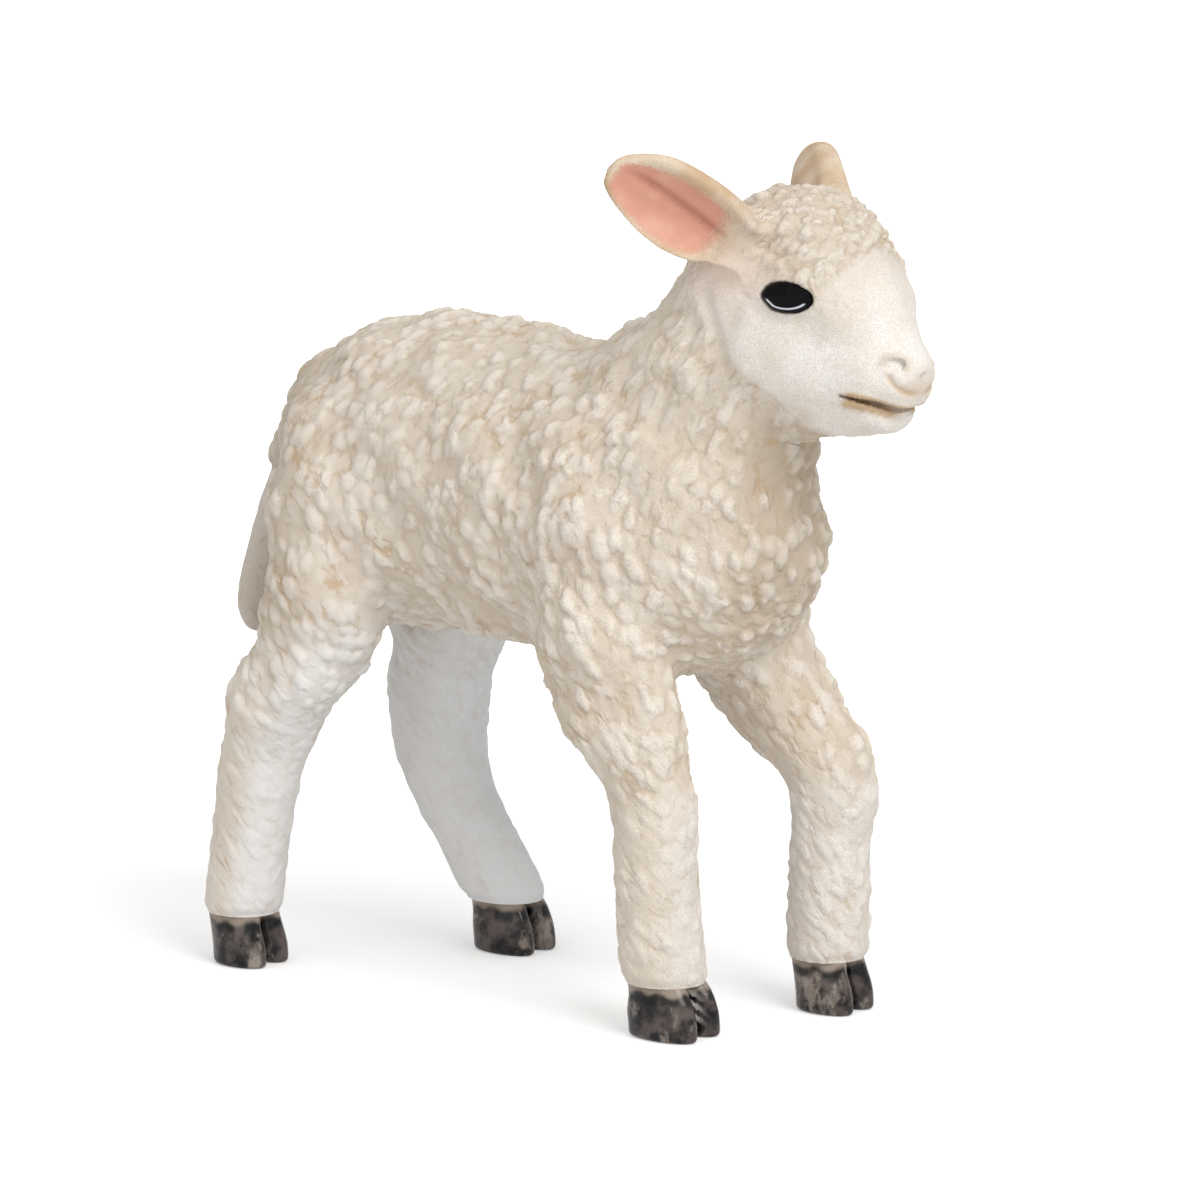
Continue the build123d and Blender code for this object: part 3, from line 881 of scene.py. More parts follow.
    def ear_skin(self, tree: Tree, where: object, speck: object) -> Socket:
        """Gives the ear's colour from the marks of its cup and fold."""
        inputs = {"Vector": where, "Cup": tree.mark("cup"), "Fold": tree.mark("fold"), "Speck": speck}
        return self.place(tree, self.ear, inputs)["Colour"]


def empty_tree(owner: bpy.types.Material | bpy.types.World) -> Tree:
    """Clears the nodes of a material or world, and gives its tree."""
    owner.use_nodes = True
    owner.node_tree.nodes.clear()
    return Tree(owner.node_tree)


@dataclass(frozen=True)
class Finish:
    """A painted finish."""

    name: str = "Finish"

    def coat(self, tree: Tree, where: Socket, effects: Effects) -> dict:
        """Gives the shader's inputs.

        Args:
            tree: the material's tree.
            where: the object's coordinates.
            effects: the shared shader groups.

        Returns:
            A value or a socket for each input, by name.
        """
        raise NotImplementedError

    def build(self, effects: Effects) -> bpy.types.Material:
        """Builds the material.

        Args:
            effects: the shared shader groups.

        Returns:
            The material.
        """
        material = bpy.data.materials.new(self.name)
        tree = empty_tree(material)
        shader = tree.add("ShaderNodeBsdfPrincipled")
        tree.add("ShaderNodeOutputMaterial", {}, {"Surface": shader.outputs[0]})
        tree.feed(shader, self.coat(tree, tree.add("ShaderNodeTexCoord").outputs["Object"], effects))
        return material


@dataclass(frozen=True)
class WoolPaint(Finish):
    """Matte cream paint over wool, with a brown wash that is also painted shade in the hollows, and a painted
    highlight on the crests.
    """

    name: str = "Cream wool paint"
    cream: Row = srgb(231, 223, 212)
    warm: Row = srgb(225, 214, 200)
    # Painted highlight: the whiter tone that the crests of the lumps take.
    top: Row = srgb(238, 233, 224)
    # A brown wash that is also painted shade: it darkens the hollows and creases between the lumps.
    wash_and_shade: Row = srgb(190, 170, 142)
    ochre: Row = srgb(184, 146, 94)
    # Painted shade: a darker, browner tone laid on the chest under the head, the rump and back of the flank,
    # the brow and the foot of the tail.
    painted_shade: Row = srgb(150, 128, 100)
    speck: Row = srgb(196, 178, 154)
    face: Row = srgb(241, 238, 234)
    face_warm: Row = srgb(235, 228, 218)
    blush: Row = srgb(226, 192, 172)
    tan: Row = srgb(190, 156, 112)
    brown: Row = srgb(52, 32, 20)
    # A paler, cooler tone; on the hind legs it is partly painted light.
    pale_and_lit: Row = srgb(234, 236, 238)
    grain_size: float = 0.12
    patch_size: float = 6.0
    face_patch_size: float = 4.5

    def coat(self, tree: Tree, where: Socket, effects: Effects) -> dict:
        """Gives the shader's inputs."""
        relief, smooth = tree.mark("relief"), tree.mark("face")
        grain = effects.grained(tree, where, self.grain_size)
        tint = effects.tinted(tree, where, self.patch_size, self.cream, self.warm)
        # Paler tone, partly painted light on the hind legs.
        colour = tree.mix(tree.mark("pale_and_lit"), tint, self.pale_and_lit)
        bare = tree.math("MAXIMUM", smooth, tree.product(tree.mark("pale_and_lit"), 0.75))
        woolly = tree.math("SUBTRACT", 1.0, bare)
        lines = effects.place(tree, effects.creases, {"Lay": tree.mark("lay", "Vector")})
        crease = tree.product(lines["Crease"], tree.ramp(relief, 0.62, 0.30), woolly)
        coats = (
            # Painted highlight: the crests of the lumps are painted whiter.
            (tree.product(tree.ramp(relief, 0.60, 0.95), 0.6), self.top),
            # Brown wash and painted shade in the hollows between the lumps.
            (tree.product(tree.ramp(relief, 0.55, 0.10), tree.product(woolly, 0.34)), self.wash_and_shade),
            # Painted shade, strongest in the hollows.
            (tree.product(tree.mark("painted_shade"), tree.ramp(relief, 0.75, 0.15, 0.42, 0.6)), self.painted_shade),
            # Brown wash and painted shade along the creases.
            (tree.product(crease, 0.28), self.wash_and_shade),
            (tree.product(crease, lines["Blot"], 0.50), self.ochre),
            (smooth, effects.tinted(tree, where, self.face_patch_size, self.face, self.face_warm)),
            (tree.mark("blush"), self.blush),
            (tree.mark("root"), effects.ear_skin(tree, where, grain["Speck"])),
            (tree.mark("tan"), self.tan),
            (tree.product(grain["Speck"], tree.mark("fine"), 0.42), self.speck),
            (tree.mark("stain"), self.brown),
        )
        for cover, paint in coats:
            colour = tree.mix(cover, colour, paint)
        depth = tree.product(lines["Crease"], woolly, -0.08)
        height = tree.math("MULTIPLY_ADD", grain["Height"], 0.03, depth)
        return {
            "Base Color": colour, "Roughness": tree.ramp(grain["Speck"], 0.0, 1.0, 0.62, 0.78),
            "Normal": tree.bump(height, 0.9, MM), "Specular IOR Level": 0.25,
        }


@dataclass(frozen=True)
class EarPaint(Finish):
    """Salmon pink paint in the cup of the ear, and cream on its back and rims."""

    name: str = "Ear paint"
    grain_size: float = 0.15

    def coat(self, tree: Tree, where: Socket, effects: Effects) -> dict:
        """Gives the shader's inputs."""
        grain = effects.grained(tree, where, self.grain_size)
        return {
            "Base Color": effects.ear_skin(tree, where, grain["Speck"]),
            "Roughness": tree.ramp(grain["Speck"], 0.0, 1.0, 0.6, 0.75),
            "Normal": tree.bump(grain["Height"], 0.5, 0.00005), "Specular IOR Level": 0.25,
        }


@dataclass(frozen=True)
class HoofPaint(Finish):
    """Half-gloss dark paint that is worn to taupe and cream."""

    name: str = "Worn hoof paint"
    dark: Row = srgb(10, 9, 10)
    brown: Row = srgb(92, 82, 78)
    worn: Row = srgb(168, 156, 146)
    band: Row = srgb(150, 136, 122)
    chip: Row = srgb(232, 228, 222)
    patch_size: float = 1.7
    brush_scale: Row = (430.0, 430.0, 260.0)

    def coat(self, tree: Tree, where: Socket, effects: Effects) -> dict:
        """Gives the shader's inputs."""
        stretched = tree.add("ShaderNodeMapping", {}, {"Vector": where, "Scale": self.brush_scale}).outputs[0]
        brush = tree.ramp(tree.noise(stretched, 1.0, 4.0, 0.65), 0.52, 0.68)
        tint = effects.tinted(tree, where, self.patch_size, self.dark, self.brown)
        colour = tree.mix(tree.product(brush, 0.75), tint, self.worn)
        for mark, paint in (("cleft", self.dark), ("band", self.band), ("chip", self.chip)):
            colour = tree.mix(tree.mark(mark), colour, paint)
        return {
            "Base Color": colour, "Roughness": tree.ramp(brush, 0.0, 1.0, 0.14, 0.45),
            "Normal": tree.bump(brush, 0.4, 0.00008), "Specular IOR Level": 0.26,
        }


@dataclass(frozen=True)
class EyeGloss(Finish):
    """Black paint under clear varnish, with a painted reflection: a thin white arc along the lower edge."""

    name: str = "Black eye varnish"
    black: Row = srgb(5, 5, 7)
    haze: Row = srgb(12, 11, 13)
    # Painted reflection: the white of a thin arc along the bead's lower edge.
    line: Row = srgb(236, 239, 248)
    grain_size: float = 0.3
    patch_size: float = 1.2

    def coat(self, tree: Tree, where: Socket, effects: Effects) -> dict:
        """Gives the shader's inputs."""
        grain = effects.grained(tree, where, self.grain_size)
        tint = effects.tinted(tree, where, self.patch_size, self.black, self.haze)
        return {
            # Painted reflection mixed into the black.
            "Base Color": tree.mix(tree.mark("glint"), tint, self.line),
            "Roughness": tree.ramp(grain["Speck"], 0.0, 1.0, 0.05, 0.09), "Specular IOR Level": 0.06,
        }


# --- Wool: lumps that follow the surface ---


@dataclass
class Wool:
    """Raises lumps of wool on a surface, where its wool mark says how strongly."""

    lump_width: float = 1.15
    lump_height: float = 0.40
    curl_width: float = 0.85
    curl_height: float = 0.55
    swell_width: float = 3.0
    swell_height: float = 0.24

    def __post_init__(self) -> None:
        """Builds the geometry tree."""
        self.group = self._build()

    def _build(self) -> bpy.types.NodeTree:
        """Builds the tree with its named inputs."""
        group = bpy.data.node_groups.new("Wool lumps", "GeometryNodeTree")
        group.interface.new_socket(name="Geometry", in_out="INPUT", socket_type="NodeSocketGeometry")
        for wave in ("Lump", "Curl", "Swell"):
            for size in ("Width", "Height"):
                group.interface.new_socket(name=f"{wave} {size}", in_out="INPUT", socket_type=NUMBER)
        group.interface.new_socket(name="Paint", in_out="INPUT", socket_type="NodeSocketMaterial")
        group.interface.new_socket(name="Geometry", in_out="OUTPUT", socket_type="NodeSocketGeometry")
        tree = Tree(group)
        start, end = tree.add("NodeGroupInput"), tree.add("NodeGroupOutput")
        grain, strength = (
            tree.add("GeometryNodeInputNamedAttribute", {"data_type": kind}, {"Name": name}).outputs[0]
            for kind, name in (("FLOAT_VECTOR", "lay"), ("FLOAT", "wool"))
        )
        place = tree.ragged(grain)

        def lumps(width: Socket, softness: float) -> Socket:
            """Gives rounded lumps of a width, 1 on their crowns and 0 in the creases."""
            scale = tree.math("DIVIDE", 1.0, width)
            cells = tree.add(
                "ShaderNodeTexVoronoi", {"feature": "SMOOTH_F1"},
                {"Vector": place, "Scale": scale, "Smoothness": softness, "Randomness": 1.0},
            ).outputs
            size = tree.ramp(cells["Color"], 0.3, 0.7, 0.2, 1.15)
            round_off = tree.math("POWER", tree.math("DIVIDE", cells["Distance"], 0.68), 2.0)
            dome = tree.math("POWER", tree.math("MAXIMUM", tree.math("SUBTRACT", 1.0, round_off), 0.0), 0.8)
            return tree.math("MULTIPLY", dome, size)

        lump = lumps(start.outputs["Lump Width"], 0.22)
        curl = tree.noise(grain, tree.math("DIVIDE", 1.0, start.outputs["Curl Width"]), 3.0, 0.6)
        swell = tree.add(
            "ShaderNodeTexNoise", {},
            {"Vector": grain, "Scale": tree.math("DIVIDE", 1.0, start.outputs["Swell Width"]), "Detail": 1.0},
        ).outputs[0]
        swell = tree.math("SUBTRACT", swell, 0.5)
        height = tree.product(tree.math("SUBTRACT", lump, 0.5), start.outputs["Lump Height"])
        for wave, label in ((tree.math("SUBTRACT", curl, 0.5), "Curl Height"), (swell, "Swell Height")):
            height = tree.math("MULTIPLY_ADD", wave, start.outputs[label], height)
        height = tree.product(height, strength, MM)
        offset = tree.vector("SCALE", {0: tree.add("GeometryNodeInputNormal").outputs[0], "Scale": height})
        relief = tree.math("ADD", tree.product(lump, 0.8), tree.math("MULTIPLY_ADD", curl, 0.5, -0.15))
        relief = tree.math("ADD", tree.product(tree.math("SUBTRACT", relief, 0.5), strength), 0.5)
        moved = tree.add(
            "GeometryNodeSetPosition", {}, {"Geometry": start.outputs["Geometry"], "Offset": offset},
        ).outputs[0]
        stored = tree.add(
            "GeometryNodeStoreNamedAttribute", {"data_type": "FLOAT", "domain": "POINT"},
            {"Geometry": moved, "Name": "relief", "Value": relief},
        ).outputs[0]
        real = tree.add("GeometryNodeRealizeInstances", {}, {"Geometry": stored}).outputs[0]
        done = tree.add("GeometryNodeSetMaterial", {}, {"Geometry": real, "Material": start.outputs["Paint"]})
        tree.feed(end, {0: done.outputs[0]})
        return group

    def grow(self, obj: bpy.types.Object, paint: bpy.types.Material) -> None:
        """Grows the wool on an object and leaves it a plain mesh.

        Args:
            obj: the object, with the marks wool and lay.
            paint: the material of the result.
        """
        modifier = obj.modifiers.new("Wool", "NODES")
        modifier.node_group = self.group
        values = {
            "Lump Width": self.lump_width, "Lump Height": self.lump_height,
            "Curl Width": self.curl_width, "Curl Height": self.curl_height,
            "Swell Width": self.swell_width, "Swell Height": self.swell_height, "Paint": paint,
        }
        for item in self.group.interface.items_tree:
            if item.in_out == "INPUT" and item.name in values:
                modifier[item.identifier] = values[item.name]
        depsgraph = bpy.context.evaluated_depsgraph_get()
        mesh = bpy.data.meshes.new_from_object(
            obj.evaluated_get(depsgraph), preserve_all_data_layers=True, depsgraph=depsgraph,
        )
        obj.modifiers.remove(modifier)
        obj.data = mesh


def lock_rise(points: Array) -> Array:
    """Gives how far the broad locks of the fleece stand out, on the waves that the solids have.

    Args:
        points: places in the lamb's axes.

    Returns:
        The rise at each point.
    """
    x, y, z = (2.0 * math.pi / LOCK_SPACING * (points + np.array((LOCK_START, 0.0, 0.0)))).T
    wave = np.sin(x) * np.cos(y) + np.sin(y) * np.cos(z) + np.sin(z) * np.cos(x)
    return LOCK_RELIEF * wave * np.clip((points[:, 2] - LOCK_FOOT) / LOCK_FADE, 0.0, 1.0)


def wool_lay(points: Array) -> Array:
    """Gives the space that the wool's lumps are round in, so that they lie the way the coat grows.

    Args:
        points: places in the lamb's axes.

    Returns:
        The same places, with the coat's lie pressed flat.
    """
    x, y, z = points.T
    lean = LEAN_SLOPE * LEAN_REACH * np.log(np.cosh((z - LEAN_HEIGHT) / LEAN_REACH))
    return np.stack([x - lean, y, z], 1) / LUMP_STRETCH


# --- The lamb's body ---

NECK_FOLDS = (
    Stroke(((12.3, -6.6, 56.5), (10.9, -7.0, 52.4), (9.5, -8.0, 48.5)), 0.7, -0.42),
    Stroke(((14.7, -7.0, 55.6), (13.8, -7.3, 51.2), (13.4, -8.0, 48.1)), 0.7, -0.40),
)


@dataclass
class Body:
    """The clay that torso, head and legs are cut from."""

    trunk: list[Row] = field(default_factory=lambda: [
        (-32.6, 0, 40.1, 3.3, 6.3), (-30.0, 0, 40.2, 5.0, 8.7), (-27.6, 0, 40.5, 6.9, 10.2),
        (-24.7, 0, 40.8, 8.5, 11.5), (-20.4, 0, 41.2, 9.5, 12.7), (-14.5, 0, 41.5, 9.3, 13.0),
        (-7.6, 0, 41.0, 9.4, 12.8), (-0.6, 0, 40.0, 9.9, 12.4), (5.3, 0, 39.5, 9.9, 12.1),
        (10.1, 0, 39.5, 9.2, 11.4), (14.1, 0, 39.5, 7.4, 9.2), (16.4, 0, 39.7, 5.3, 6.5),
    ])
    neck: list[Row] = field(default_factory=lambda: [
        (1.5, 0, 41.3, 8.1, 11.0), (6.4, 0, 46.6, 7.7, 9.9), (10.8, 0, 51.0, 7.2, 8.3),
        (12.9, 0, 55.4, 6.8, 6.9), (14.1, 0, 60.0, 6.0, 6.1),
    ])
    legs: dict[str, list[Row]] = field(default_factory=lambda: {
        "foreleg_left": [
            (15.6, 7.5, 2.5, 3.2, 3.3), (15.8, 7.5, 8.5, 3.3, 3.4), (16.0, 7.5, 14.7, 3.2, 3.3),
            (16.3, 7.5, 17.2, 3.3, 3.5), (15.3, 7.5, 20.3, 3.4, 3.8), (12.7, 7.3, 23.4, 4.0, 4.4),
            (9.9, 6.8, 27.1, 4.4, 5.0), (7.8, 6.5, 31.6, 4.8, 5.5), (6.6, 6.2, 36.6, 4.8, 5.8),
            (6.1, 6.0, 41.3, 4.2, 5.1), (5.8, 5.8, 45.5, 3.0, 3.4),
        ],
        "foreleg_right": [
            (10.8, -7.5, 2.5, 3.3, 3.5), (10.1, -7.5, 9.0, 3.4, 3.4), (9.6, -7.5, 15.5, 3.3, 3.4),
            (9.0, -7.4, 20.3, 3.5, 3.8), (7.2, -7.4, 24.0, 4.1, 4.5), (5.2, -7.2, 27.6, 4.7, 5.2),
            (4.2, -6.9, 31.9, 5.1, 5.7), (3.7, -6.6, 36.6, 5.0, 5.9), (3.5, -6.3, 41.3, 4.4, 5.1),
            (3.8, -6.0, 45.5, 3.0, 3.4),
        ],
        "hindleg_left": [
            (-17.3, 8.5, 2.6, 3.1, 3.2), (-18.0, 8.5, 4.4, 3.1, 3.3), (-19.7, 8.5, 7.0, 3.1, 3.3),
            (-21.9, 8.5, 10.2, 3.1, 3.2), (-23.8, 8.5, 13.5, 3.3, 3.6), (-25.1, 8.5, 17.5, 3.7, 4.2),
            (-24.7, 8.5, 22.0, 4.0, 4.5), (-24.0, 8.2, 25.9, 4.4, 5.3), (-23.5, 7.7, 30.8, 4.8, 6.6),
            (-23.8, 7.0, 35.5, 4.9, 6.6), (-24.1, 6.5, 40.3, 4.3, 5.2), (-24.0, 6.2, 45.0, 3.0, 3.4),
        ],
        "hindleg_right": [
            (-32.4, -8.5, 2.5, 3.1, 3.2), (-32.0, -8.5, 6.2, 3.2, 3.3), (-31.3, -8.5, 10.7, 3.1, 3.3),
            (-30.5, -8.5, 15.2, 3.2, 3.5), (-29.4, -8.5, 19.7, 3.5, 3.9), (-27.5, -8.4, 23.7, 4.0, 4.5),
            (-24.9, -8.2, 27.1, 4.3, 4.5), (-24.0, -7.7, 30.8, 4.6, 5.1), (-24.1, -7.0, 35.5, 4.7, 5.6),
            (-24.4, -6.5, 40.3, 4.3, 5.2), (-24.0, -6.2, 45.0, 3.0, 3.4),
        ],
    })
    folds: tuple[Stroke, ...] = (
        Stroke(((-17.5, -8.0, 45.0), (-16.5, -9.0, 42.0), (-15.7, -9.4, 38.0), (-14.9, -9.4, 34.4)),
               1.5, -0.50),
        Stroke(((-4.2, -9.0, 46.4), (-1.4, -10.0, 42.0), (-0.3, -10.2, 37.4), (0.4, -9.8, 32.6)),
               1.3, -0.40),
        *NECK_FOLDS,
        Stroke(((4.5, -8.0, 50.4), (6.3, -6.5, 52.7)), 0.8, -0.30),
        Stroke(((4.6, -7.5, 19.0), (7.5, -10.2, 19.6), (11.0, -10.6, 20.2)), 0.6, -0.10),
        Stroke(((12.5, 4.0, 19.5), (16.5, 3.6, 18.6), (19.6, 5.0, 18.0)), 0.5, -0.14),
        Stroke(((12.4, 4.2, 17.2), (16.2, 3.8, 16.2), (19.4, 5.0, 15.8)), 0.5, -0.14),
        Stroke(((12.4, 4.2, 14.4), (16.0, 3.9, 13.6), (19.2, 5.2, 13.4)), 0.5, -0.10),
    )

    def core(self) -> list[Form]:
        """Gives the forms of trunk and neck."""
        return [Form(self.trunk, 2.0, caps=(1.8, 1.9), roundness=0.5), Form(self.neck, 3.0)]

    def pour(self, low: Row, high: Row, step: float, factor: int) -> Block:
        """Fills a block with every form of the body that reaches into it.

        Args:
            low: lowest corner.
            high: highest corner.
            step: the coarse grid's step.
            factor: how many fine steps go in a coarse one.

        Returns:
            The block, on its fine grid.
        """
        forms = self.core() + [Form(rows, 2.2) for rows in self.legs.values()]
        if high[2] > NECK_SEAM.point[2]:
            forms += Head.forms()
        block = Block(low, high, step)
        for form in forms:
            block.add(form)
        block.refine(factor)
        return block

    def crease(self, skin: Skin) -> None:
        """Raises the fleece's broad locks and presses the folds of the coat."""
        skin.push(lock_rise(skin.points))
        for fold in self.folds:
            fold.apply(skin)
        z = skin.points[:, 2]
        skin.push(-0.30 * np.exp(-(((z - HOOF_SEAM.point[2]) / 0.45) ** 2)))

    def dress(self, skin: Skin) -> None:
        """Marks where wool grows, how it lies and which paint it takes.

        Args:
            skin: the surface to mark.
        """
        x, y, z = skin.points.T
        shanks = 0.45 + 0.55 * ease(17.0, 27.0, z)
        shanks *= 1.0 - 0.35 * ease(8.0, 4.5, z)
        chest, haunch = 0.25 * ease(13.0, 17.0, x), 0.28 * ease(-8.0, -18.0, x)
        nape = 0.35 * ease(44.0, 52.0, z) * ease(4.0, 9.0, x)
        hind = ease(-8.0, -14.0, x) * ease(36.0, 24.0, z)
        # Faces turned forward, towards the lamps, for the painted light below.
        front = ease(0.0, 0.6, skin.normals()[:, 0])
        # Painted light on the hind legs: the near one is paler on its forward faces and the far one, in the
        # body's shadow, is paler all over; this is partly a paler paint tone.
        pale_and_lit_hind = hind * np.where(y < 0, 0.06 + 0.60 * front, 0.80 + 0.20 * front)
        # Painted shade on the chest, under the head.
        chest_shade = 0.75 * ease(13.5, 18.0, x) * ease(50.5, 48.5, z) * ease(27.0, 31.0, z) * ease(-8.0, -4.0, y)
        # Painted shade on the rump and the back of the flank, which face away from the lamps.
        rump, flank = 0.55 * ease(-20.0, -33.0, x), 0.28 * ease(-2.0, -20.0, x)
        skin.marks = {
            "wool": shanks * (1.0 + chest - haunch - nape), "lay": wool_lay(skin.points),
            # The paler mark: a paler paint tone with the painted light on the hind legs; the darker mark is
            # painted shade.
            "pale_and_lit": pale_and_lit_hind + 0.4 * ease(11.5, 13.5, x) * ease(22.0, 17.0, z),
            "fine": 0.25 + 0.75 * ease(-18.0, 2.0, x),
            "painted_shade": chest_shade + (rump * ease(24.0, 30.0, z) + flank * ease(27.0, 33.0, z)),
        }
        skin.blank(*PLAIN_MARKS)


class Head:
    """Skull, muzzle, jaw and ear roots, and the lines that are pressed into them."""

    slit = (
        (17.7, -1.20, 0.0, 4.8, 0.12), (18.7, -0.82, 0.0, 4.6, 0.18), (20.0, -0.48, 0.0, 4.6, 0.24),
        (21.6, -0.26, 0.0, 4.6, 0.38), (23.6, -0.50, 0.0, 4.6, 0.44),
    )
    folds = (
        Stroke((
            (13.2, -6.5, 59.7), (14.8, -7.0, 56.0), (16.6, -7.0, 52.8), (19.2, -6.0, 50.8),
            (21.3, -4.2, 49.8),
        ), 0.65, -0.75),
        *NECK_FOLDS,
        Stroke(((19.5, -7, 58.4), (18.9, -7.2, 55.6), (20.2, -7, 52.6)), 1.1, -0.12),
        Stroke(((13.3, -6.5, 58.8), (14.2, -7.0, 61.2), (15.0, -7.3, 63.0)), 0.6, -0.22),
        Stroke(((16.2, -6.8, 57.6), (17.2, -7.0, 60.4), (18.6, -6.6, 62.2)), 0.8, -0.14),
    )
    ledges = (
        Stroke(((26.7, 2, 61.8), (25.9, 0, 63.9), (25.7, -2.0, 64.0), (25.2, -3.4, 63.8)),
               0.42, -0.42, False),
        Stroke(((25.2, -3.4, 63.8), (24.2, -4.8, 64.2), (22.6, -6.0, 64.2)), 0.42, -0.24),
    )
    frown = (
        Stroke(HEAD.line((14.2, 9.0, 1.6), (14.0, 8.8, -1.2), (13.8, 8.0, -3.4)), 0.4, -0.10, False),
        Stroke(HEAD.line((15.4, 7.6, 1.4), (15.2, 7.4, -1.0), (15.0, 6.8, -2.8)), 0.45, -0.08, False),
    )
    lip = Stroke(HEAD.line(
        (18.0, -0.75, -3.9), (18.9, -0.35, -3.7), (20.1, 0.0, -3.2), (21.6, 0.25, -2.0), (22.3, 0.15, -0.8),
    ), 0.30, 0.12, across=0.25)
    under = Stroke(HEAD.line(
        (18.2, -1.6, -3.8), (19.0, -1.3, -3.5), (20.2, -1.0, -3.0), (21.4, -0.85, -2.0), (22.2, -0.95, -0.9),
        (22.3, -1.0, 0.0),
    ), 0.34, 0.13, across=0.25)
    nose = (
        Stroke(HEAD.line(
            (22.5, 0.2, 0.0), (22.6, 1.0, 0.0), (22.3, 1.9, 0.0), (21.6, 2.8, 0.0),
        ), 0.26, -0.40, False),
        Stroke(HEAD.line(
            (20.0, 2.25, -2.8), (20.8, 1.85, -2.5), (21.5, 1.6, -1.8), (22.1, 1.45, -1.0), (22.5, 1.4, -0.3),
        ), 0.22, -0.15, across=0.3),
        Stroke(HEAD.line((20.5, 2.7, -2.4), (21.2, 2.35, -1.8), (21.9, 2.2, -1.0)), 0.36, 0.10, across=0.3),
        Stroke(HEAD.line(
            (20.7, 3.15, -1.8), (20.35, 3.65, -1.9), (19.6, 3.8, -2.3), (19.05, 3.35, -2.7),
            (19.1, 2.75, -2.9),
        ), 0.22, 0.10, across=0.3),
    )
    pits = (
        Stroke(HEAD.line((20.3, 2.45, -3.05), (19.7, 2.45, -3.25)), 0.16, 0.0, across=0.3),
        Stroke(HEAD.line((22.3, 1.35, -0.45), (22.35, 1.5, -0.3)), 0.13, 0.0),
    )

    @staticmethod
    def gap(width: float) -> Stroke:
        """Gives the line between the lips, for its paint."""
        return Stroke(HEAD.line(
            (17.8, -1.15, -4.1), (18.7, -0.82, -3.8), (20.0, -0.48, -3.3), (21.6, -0.26, -2.1),
            (22.4, -0.36, -0.6), (22.7, -0.4, 0.0),
        ), width, 0.0, across=0.25)

    @staticmethod
    def chain(rows: list[Row], blend: float, caps: tuple[float, float] | None = None) -> Form:
        """Makes a form in the head's axes.

        Args:
            rows: along, up, half side and half depth of each station.
            blend: the width of the fillet round the form.
            caps: how far the ends stand out.

        Returns:
            The form.
        """
        return Form([(*HEAD.place(a, u), s, d) for a, u, s, d in rows], blend, caps=caps, roundness=0.5)

    @staticmethod
    def lump(rows: tuple[Row, ...], blend: float, turn: int = 1) -> Form:
        """Makes a round-ended form in the head's axes.

        Args:
            rows: along, up, out, half side and half depth of each station.
            blend: the width of the fillet round the form.
            turn: -1 to lay it on the lamb's right.

        Returns:
            The form.
        """
        return Form([(*HEAD.place(a, u, turn * o), s, d) for a, u, o, s, d in rows], blend)

    @classmethod
    def forms(cls) -> list[Form]:
        """Gives the forms of the head."""
        skull = cls.chain([
            (0.7, -0.2, 3.5, 3.6), (2.2, -0.1, 5.0, 6.0), (4.5, 0.1, 6.1, 8.1), (8.0, 0.5, 6.6, 9.2),
            (11.5, 0.4, 6.3, 8.5), (14.5, 0.35, 5.2, 7.4), (17.0, 0.25, 4.2, 5.5), (18.6, 0.7, 3.6, 4.0),
        ], 1.0, (0.5, 0.8))
        muzzle = cls.chain([
            (16.0, 0.9, 4.2, 4.5), (18.2, 1.2, 3.55, 3.65), (19.6, 1.4, 3.1, 3.15), (20.7, 1.55, 2.65, 2.45),
            (21.2, 1.6, 2.2, 1.9),
        ], 1.4, (1.0, 0.5))
        lips = cls.chain([
            (18.6, 0.9, 3.2, 1.8), (20.4, 0.85, 2.7, 1.45), (21.5, 0.85, 1.95, 1.05),
        ], 0.7, (1.0, 0.75))
        jaw = cls.chain([
            (9.0, -4.4, 4.9, 4.6), (12.0, -4.3, 4.7, 4.5), (14.5, -3.7, 4.2, 3.9), (17.5, -2.7, 3.5, 2.8),
            (19.6, -2.0, 2.9, 1.9), (20.9, -1.6, 2.4, 1.35),
        ], 0.6, (1.0, 0.8))
        forms = [skull, muzzle, lips, jaw]
        for side in Side:
            brow = ((11.2, 4.8, 3.9, 2.3, 2.3), (14.0, 4.3, 3.1, 2.0, 2.0))
            cheek = ((10.0, -2.0, 4.2, 2.6, 3.4), (14.0, -1.6, 3.2, 2.1, 2.7))
            forms += [cls.lump(brow, 1.8, side.value), cls.lump(cheek, 2.0, side.value)]
        tuft = ((4.6, 5.3, 0.0, 4.5, 2.5), (7.5, 6.7, 0.0, 5.2, 3.1), (10.3, 6.8, 0.0, 4.7, 2.6))
        return [*forms, cls.lump(tuft, 0.6)]

    def __init__(self, body: Body) -> None:
        """Keeps the body that the neck comes from."""
        self.body = body

    def sculpt(self, ears: list["Ear"], eyes: list["Eye"]) -> Skin:
        """Sculpts the head and ears down to a little below the neck's seam.

        Args:
            ears: the ears, which are cut off later.
            eyes: the eyes, for their sockets.

        Returns:
            The surface with its marks.
        """
        block = Block((2.0, -16.5, 43.0), (35.0, 16.5, 73.0), 0.48)
        for form in self.body.core() + self.forms():
            block.add(form)
        block.refine(3)
        for ear in ears:
            block.add(Leaf(ear))
        for eye in eyes:
            eye.seat(block)
            block.carve(Almond(eye))
        block.carve(self.lump(self.slit, 0.1), 1.0)
        for side in Side:
            nostril = ((20.05, 3.0, 1.6, 0.55, 0.55), (19.75, 3.05, 3.3, 0.6, 0.6))
            block.carve(self.lump(nostril, 0.16, side.value), 0.55)
        skin = block.skin()
        self.mark(skin, ears, eyes)
        return skin

